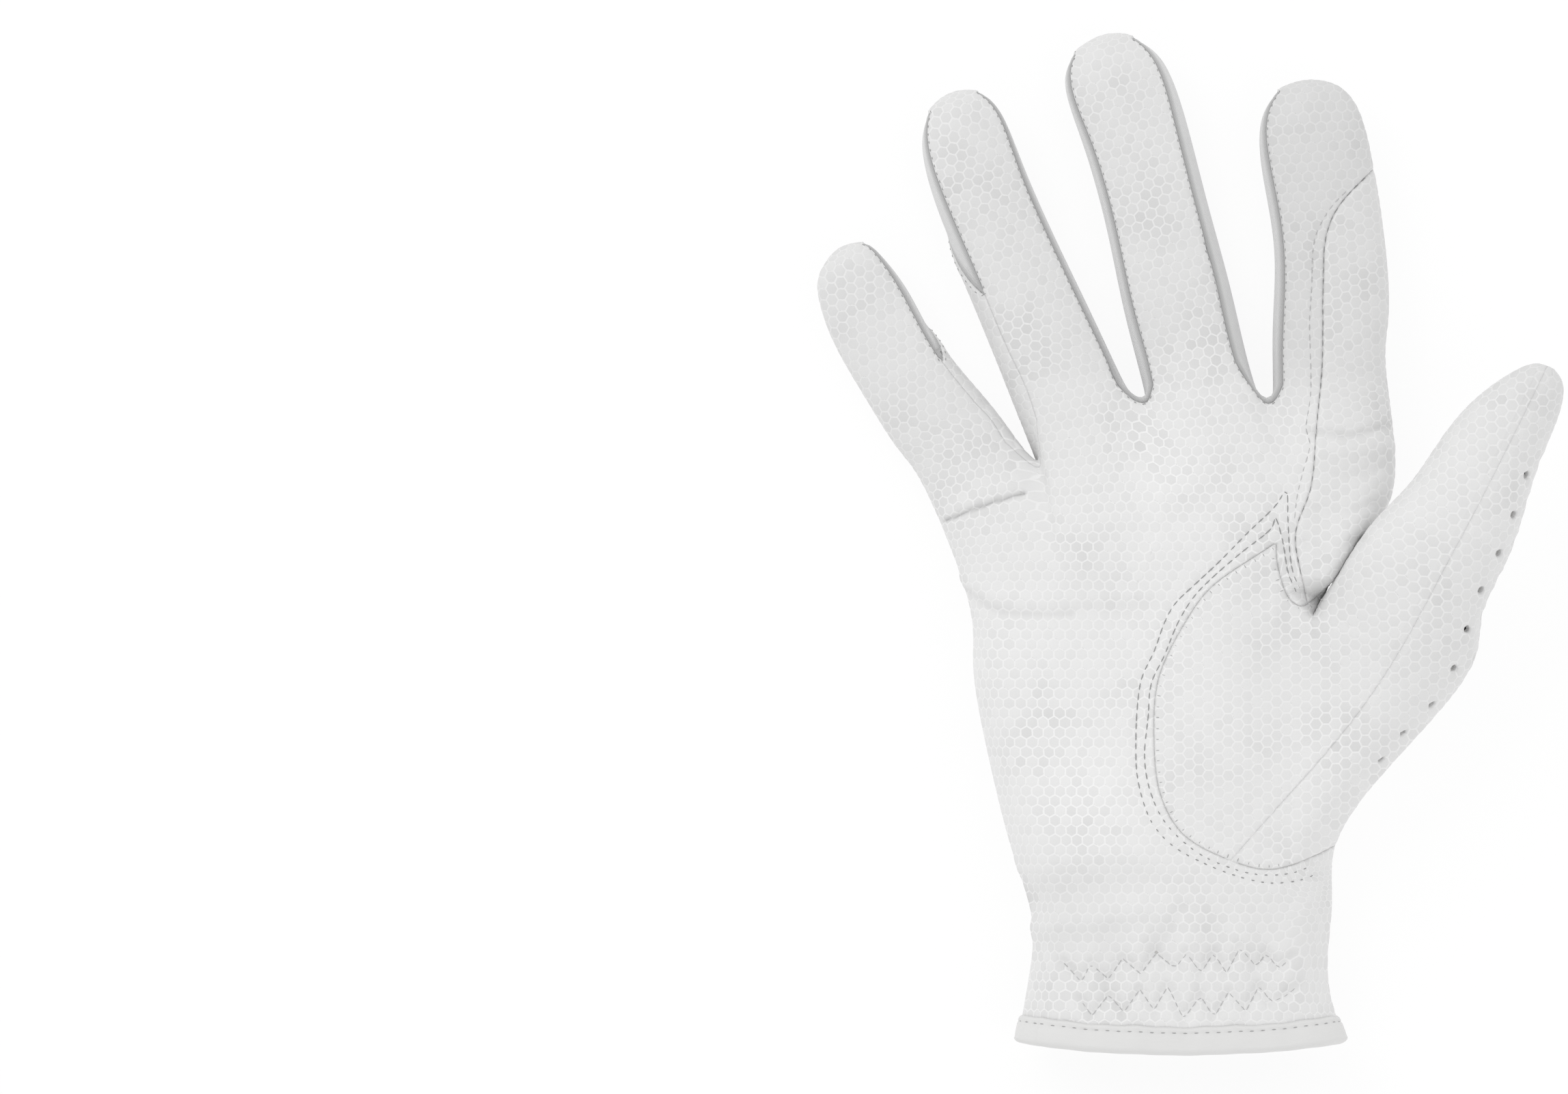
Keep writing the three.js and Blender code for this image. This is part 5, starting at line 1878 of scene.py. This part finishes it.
    def cut(self, name: str, target: float) -> Patch:
        """Cuts one panel.

        Args:
            name: the solid it stands for.
            target: the length of a face's side, mm.

        Returns:
            The panel's outer skin.
        """
        if name == "hand_back":
            return self.form.patch([Panel.BACK], target)
        if name == "gusset":
            patch = self.form.patch([Panel.GUSSET, Panel.FOURCHETTE_LITTLE, Panel.FOURCHETTE_RING], target)
            return patch.cut(knit_end(patch.points))
        if name in ("palm", "index_panel"):
            patch = self.form.patch([Panel.FRONT], target)
            patch = patch.cut(-self.moon(patch.points))
            side = self.index(patch.points)
            patch = patch.cut(side if name == "index_panel" else -side)
            if name == "index_panel":
                plain = 1 - ease(patch.points[:, 1], 118, 142)[:, None]
                patch.flat = (patch.flat * (1 - plain) + patch.points[:, :2] * plain)[:, ::-1].copy()
            return patch
        patch = self.form.patch([Panel.FRONT, Panel.THUMB], target)
        front = patch.keep(patch.label == Panel.FRONT.value)
        front = front.cut(self.moon(front.points))
        patch = joined(front, patch.keep(patch.label == Panel.THUMB.value))
        side = self.thumb_front(patch.points)
        patch = patch.cut(side if name == "thumb_front" else -side)
        if name == "thumb_back":
            patch = patch.cut(self.vents(patch.points, patch.normals))
        patch.flat = self.thumb_flat(patch.points)
        return patch

    def seam_depth(self, p: Array) -> Array:
        """How deep the seam nearest to each point lies: shallow on the thumb's long seam and the gusset.

        Args:
            p: points of the leather.

        Returns:
            The depths, mm.
        """
        depth = np.full(len(p), self.seam_dip)
        for line, value in ((self.thumb_seam, self.thumb_dip), (self.index_seam, self.index_dip)):
            near, _ = line_distance(p[:, :2], line)
            depth = np.where((near < 1.6) & (p[:, 2] > 6), value, depth)
        near = inside_distance(p[:, :2], self.gusset_ground) > -1.2
        return np.where(near, 0.0, depth)

    def relief(self, patch: Patch, embossed: bool) -> Array:
        """How far each point stands proud of the smooth form, mm.

        Args:
            patch: the leather's surface.
            embossed: whether it has the honeycomb.

        Returns:
            The heights.
        """
        p = patch.points
        edge = patch.edge_distance()
        depth = self.seam_depth(p)
        height = -depth * (1 - np.minimum(edge / self.roll, 1)) ** 2
        height += 0.3 * depth * np.exp(-((edge - 1.3) / 0.8) ** 2)
        if embossed:
            top = patch.normals[:, 2] > self.upward
            for line in STITCH_LINES:
                near, _ = line_distance(p[:, :2], line.path())
                height -= line.dip * np.exp(-(near / line.width) ** 2) * top
            border = hex_border(patch.flat[:, 0], patch.flat[:, 1], EmbossedLeather.pitch)
            height += self.pillow * ease(border, 0.0, 0.55) * ease(edge, 0.3, 1.2)
            for fold in FOLDS:
                distance, _ = line_distance(p[:, :2], fold.path())
                height += fold.height * np.exp(-(distance / fold.width) ** 2) * top
        return height

    def build(self, name: str, finish: object, slot: str) -> Object:
        """Builds and dresses one panel with its thickness.

        Args:
            name: the solid it stands for, and the piece's name.
            finish: its outer finish.
            slot: the record's material slot.

        Returns:
            The piece.
        """
        embossed = isinstance(finish, EmbossedLeather)
        patch = self.cut(name, self.fine if embossed else self.plain_step)
        patch = patch.cut(patch.edge_distance() - self.roll, both=True)
        edge = patch.edge_distance()
        height = self.relief(patch, embossed)
        skin = patch.points + patch.normals * height[:, None]
        skin[:, 2] = np.maximum(skin[:, 2], 0)
        self.panels[name] = Patch(skin, patch.normals, patch.flat, patch.faces, patch.label)
        rim = patch.rim()
        used, place = np.unique(rim, return_inverse=True)
        place = place.reshape(-1, 2)
        inner_edge = patch.points[used] - patch.normals[used] * WALL
        lining = self.cut(name, self.lining_step)
        inside = lining.points - lining.normals * WALL
        count, more = len(skin), len(used)
        strip = np.stack([rim[:, 1], rim[:, 0], count + place[:, 0], count + place[:, 1]], 1)
        faces = np.vstack([patch.faces, strip, count + more + lining.faces[:, ::-1]])
        triangle = faces[:, 0] == faces[:, 1]
        faces[triangle] = faces[triangle][:, [1, 2, 3, 3]]
        which = np.concatenate([np.zeros(len(patch.faces) + len(strip), int), np.ones(len(lining.faces), int)])
        crisp = np.zeros(len(faces), bool)
        crisp[len(patch.faces):len(patch.faces) + len(strip)] = True
        # Where the seam lies flat, the edge reads as far off, so no painted seam shade falls there.
        edge = np.where(self.seam_depth(patch.points) > 0, edge, self.inset)
        flat = np.vstack([np.column_stack([patch.flat, edge]),
                          np.column_stack([patch.flat[used], np.zeros(more)]),
                          np.column_stack([lining.flat, np.full(len(inside), self.inset)])])
        points = np.vstack([skin, inner_edge, inside])
        points[:, 2] = np.maximum(points[:, 2], 0)
        tone = self.tone(points)
        if name == "index_panel":
            tone = 1 - (1 - tone) * 0.5  # its outer side takes only half of the fingertip's darkening
        return self.shop.piece(name + "_panel", points, faces,
                               [self.shop.material(finish), self.shop.material(LINING)], slot, [name],
                               flat, tone, which, crisp)


LINING = NappedLining("napped_lining")


@dataclass
class SideStrips:
    """The stretch-knit strips between the fingers."""

    form: Cage
    shop: Workshop
    fine: float = 0.7
    sag: float = 0.4
    set_back: float = 0.35  # how far the knit lies under the leather's skin
    allowance: float = 1.2  # the cut width over the width that shows
    least_width: float = 10.0  # the least cut width, mm
    patches: dict[str, Patch] = field(default_factory=dict)

    def build(self, panel: Panel, sides: int) -> Object:
        """Builds one strip.

        Args:
            panel: which strip.
            sides: how many fingers it runs along.

        Returns:
            The strip.
        """
        name = panel.name.lower()
        patch = self.form.patch([panel], self.fine)
        if panel in (Panel.FOURCHETTE_LITTLE, Panel.FOURCHETTE_RING):
            patch = self.form.patch([panel, Panel.GUSSET], self.fine)
            patch = patch.cut(-knit_end(patch.points))
        self.patches[name] = patch
        edge = patch.edge_distance()
        skin = patch.points - patch.normals * (self.sag * ease(edge, 0, 2.5) + self.set_back)[:, None]
        back = patch.points - patch.normals * WALL
        count = len(skin)
        rim = patch.rim()
        faces = np.vstack([patch.faces, count + patch.faces[:, ::-1],
                           np.stack([rim[:, 1], rim[:, 0], count + rim[:, 0], count + rim[:, 1]], 1)])
        points = np.vstack([skin, back])
        points[:, 2] = np.maximum(points[:, 2], 0)
        flat = np.tile(np.column_stack([patch.flat, edge]), (2, 1))
        made = self.shop.piece(name + "_strip", points, faces,
                               [self.shop.material(BrushedKnit("brushed_knit"))], "knit", [name], flat,
                               np.ones(len(points)))
        corners = patch.points[patch.faces]
        area = np.linalg.norm(np.cross(corners[:, 2] - corners[:, 0], corners[:, 3] - corners[:, 1]), axis=1).sum() / 2
        length = sides * float(np.ptp(patch.flat[:, 1]))
        width = max(self.allowance * area / length, self.least_width)
        log.info("%s: outer area %.0f mm2, cut %.1f by %.1f mm", name, area, width, length)
        width * MM
        length * MM
        area * MM * MM
        return made


@dataclass
class HemBinding:
    """The tape folded over the cuff's edge."""

    form: Cage
    shop: Workshop
    thickness: float = 0.8
    clearance: float = 0.22
    height: float = 6.0
    stations: int = 460
    stitch_every: int = 7  # stations from stitch to stitch
    stitch_span: int = 3
    stitch_row: int = 3  # the section's corner that the stitches lie in
    sewn: list = field(default_factory=list)

    def build(self) -> Object:
        """Builds the tape as a channel with a rounded fold that runs round the hem.

        Returns:
            The piece.
        """
        points, normals, up = self.form.hem()
        reach = lengths_along(np.vstack([points, points[:1]]))
        s = np.linspace(0, reach[-1], self.stations, endpoint=False)

        def along(values: Array) -> Array:
            """Values of the hem's ring at the stations."""
            closed = np.vstack([values, values[:1]])
            return np.stack([np.interp(s, reach, closed[:, i]) for i in range(3)], 1)

        place, out, rise = along(points), along(normals), along(up)
        out /= np.linalg.norm(out, axis=1, keepdims=True)
        rise /= np.linalg.norm(rise, axis=1, keepdims=True)
        near, far = self.clearance, self.clearance + self.thickness
        lip = self.height - far
        section = [(far * 0.45, lip + 0.1), (far * 0.8, lip - 0.3), (far - 0.05, lip - 0.9), (far - 0.2, lip - 1.35),
                   (far - 0.02, lip - 1.8), (far + 0.04, lip * 0.35), (far, 0.1)]
        middle, radius = -WALL / 2, WALL / 2 + far
        section += [(middle + radius * math.cos(a), -0.1 - far * math.sin(a) * 0.98)
                    for a in np.linspace(0.25, math.pi - 0.25, 8)]
        section += [(-WALL - far, 0.1), (-WALL - far, lip * 0.6), (-WALL - far * 0.9, lip),
                    (-WALL - near, lip), (-WALL - near, 0.2), (middle, -near), (near, 0.2), (near, lip)]
        wave = 0.16 * np.sin(s * 0.31 + 1.0) + 0.1 * np.sin(s * 0.83 + 2.1)
        pull = np.cos(2 * np.pi * s / 2.5) * 0.5 + 0.5
        rows, flat = [], []
        for i, (o, h) in enumerate(section):
            push = wave * (0.7 if 0 < i < 7 else 0.3) - (pull * 0.12 if i == self.stitch_row else 0)
            lift = wave * (0.9 if i < 3 else 0.25)
            rows.append(place + out * (o + push)[:, None] + rise * (h + lift)[:, None])
            flat.append(np.column_stack([s, np.full(len(s), h), np.full(len(s), abs(lip - h))]))
        count = len(section)
        points = np.stack(rows, 1).reshape(-1, 3)
        points[:, 2] = np.maximum(points[:, 2], 0)
        i, j = grid(np.arange(self.stations), np.arange(count))
        n, m = (i + 1) % self.stations, (j + 1) % count
        faces = np.stack([i * count + j, i * count + m, n * count + m, n * count + j], 1)
        row = rows[self.stitch_row]
        for k in range(0, self.stations, self.stitch_every):
            end = (k + self.stitch_span) % self.stations
            self.sewn.append(((row[k], out[k]), (row[end], out[end])))
        return self.shop.piece("hem_binding", points, faces, [self.shop.material(FoldedTape("hem_tape"))],
                               "binding_tape", ["cuff_binding"], np.stack(flat, 1).reshape(-1, 3),
                               np.ones(len(points)))


# ---------------------------------------------------------------- the studio
@dataclass
class Studio:
    """A pale floor lit from within, soft light and a camera straight above."""

    frame_width: float = 2296 * PIXEL * MM
    centre: tuple[float, float] = (-0.0891, -0.0006)
    distance: float = 3.0
    palm_height: float = 0.012  # the height that the frame's width is measured at
    floor_base: float = 0.14
    floor_glow: float = 0.86
    sky: float = 0.9
    lamps: tuple = (  # name, place, size, power
        ("key_light", (-0.7, 0.8, 0.9), 0.8, 3.4), ("fill_light", (0.9, -0.5, 1.3), 1.0, 1.2))

    def build(self) -> None:
        """Sets the floor, the lights and the camera."""
        scene = bpy.context.scene
        scene.view_settings.view_transform = "Standard"
        mesh = bpy.data.meshes.new("floor")
        mesh.from_pydata([(-4, -4, 0), (4, -4, 0), (4, 4, 0), (-4, 4, 0)], [], [(0, 1, 2, 3)])
        floor = bpy.data.objects.new("floor", mesh)
        scene.collection.objects.link(floor)
        sheet = NodeSheet("studio_floor")
        mesh.materials.append(sheet.finish(
            (*[self.floor_base] * 3, 1), 0.9, Specular_IOR_Level=0.1, Emission_Color=(1, 1, 1, 1),
            Emission_Strength=self.floor_glow))
        floor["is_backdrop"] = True
        world = bpy.data.worlds.new("studio")
        scene.world = world
        world.use_nodes = True
        background = world.node_tree.nodes["Background"].inputs
        background["Color"].default_value = (1, 1, 1, 1)
        background["Strength"].default_value = self.sky
        for name, place, size, power in self.lamps:
            lamp = bpy.data.lights.new(name, "AREA")
            lamp.energy, lamp.size = power, size
            light = bpy.data.objects.new(name, lamp)
            light.location = place
            light.rotation_euler = (-Vector(place)).to_track_quat("-Z", "Y").to_euler()
            scene.collection.objects.link(light)
        camera = bpy.data.cameras.new("camera")
        camera.sensor_fit, camera.sensor_width = "HORIZONTAL", 36.0
        camera.lens = camera.sensor_width * (self.distance - self.palm_height) / self.frame_width
        camera.clip_end = 20
        view = bpy.data.objects.new("camera", camera)
        view.location = (*self.centre, self.distance)
        scene.collection.objects.link(view)
        scene.camera = view


def main() -> None:
    """Builds the glove's pieces in order, then the studio."""
    logging.basicConfig(level=logging.INFO, format="%(message)s")
    form, shop = Cage(), Workshop()
    leathers = Leathers(form, shop)
    embossed = EmbossedLeather("embossed_leather")
    for name, finish, slot in (
            ("palm", embossed, "palm_leather"),
            ("index_panel", EmbossedLeather("index_leather", shade=0.755), "palm_leather"),
            ("thumb_front", embossed, "palm_leather"),
            ("thumb_back", EmbossedLeather("vented_leather"), "vented_leather"),
            ("hand_back", GrainedLeather("back_leather"), "back_leather"),
            ("gusset", embossed, "palm_leather")):
        leathers.build(name, finish, slot)
    strips = SideStrips(form, shop)
    for panel, sides in ((Panel.FOURCHETTE_LITTLE, 1), (Panel.FOURCHETTE_RING, 1),
                         (Panel.FOURCHETTE_RING_MIDDLE, 2), (Panel.FOURCHETTE_MIDDLE_INDEX, 2)):
        strips.build(panel, sides)
    hem = HemBinding(form, shop)
    hem.build()
    stitching = Stitching(shop, leathers.panels)
    for line in STITCH_LINES:
        stitching.over_palm(line)
    # The thread shades below are darkened as painted shade of the sunk stitches.
    sewn = leathers.index_seam[leathers.index_seam[:, 1] > 103]
    seam = StitchLine("stitches_index_seam", (), 2.3, 1.7, 0.1, 0.0, 1.0, 0.3, drawn=sewn[::-1])
    stitching.over_palm(seam)
    stitching.ticks("ticks_half_moon", leathers.moon_edge, 2.4, 1.25, 0.42)
    for name, strip in strips.patches.items():
        stitching.edging(name.replace("fourchette", "edging"), strip)
    stitching.sew("stitches_hem", hem.sewn, 0.11, 0.4)
    Studio().build()
    low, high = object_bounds()
    {"cad": [list(cad_low), list(cad_high)], "visual": [list(low), list(high)]}


if __name__ == "__main__":
    main()
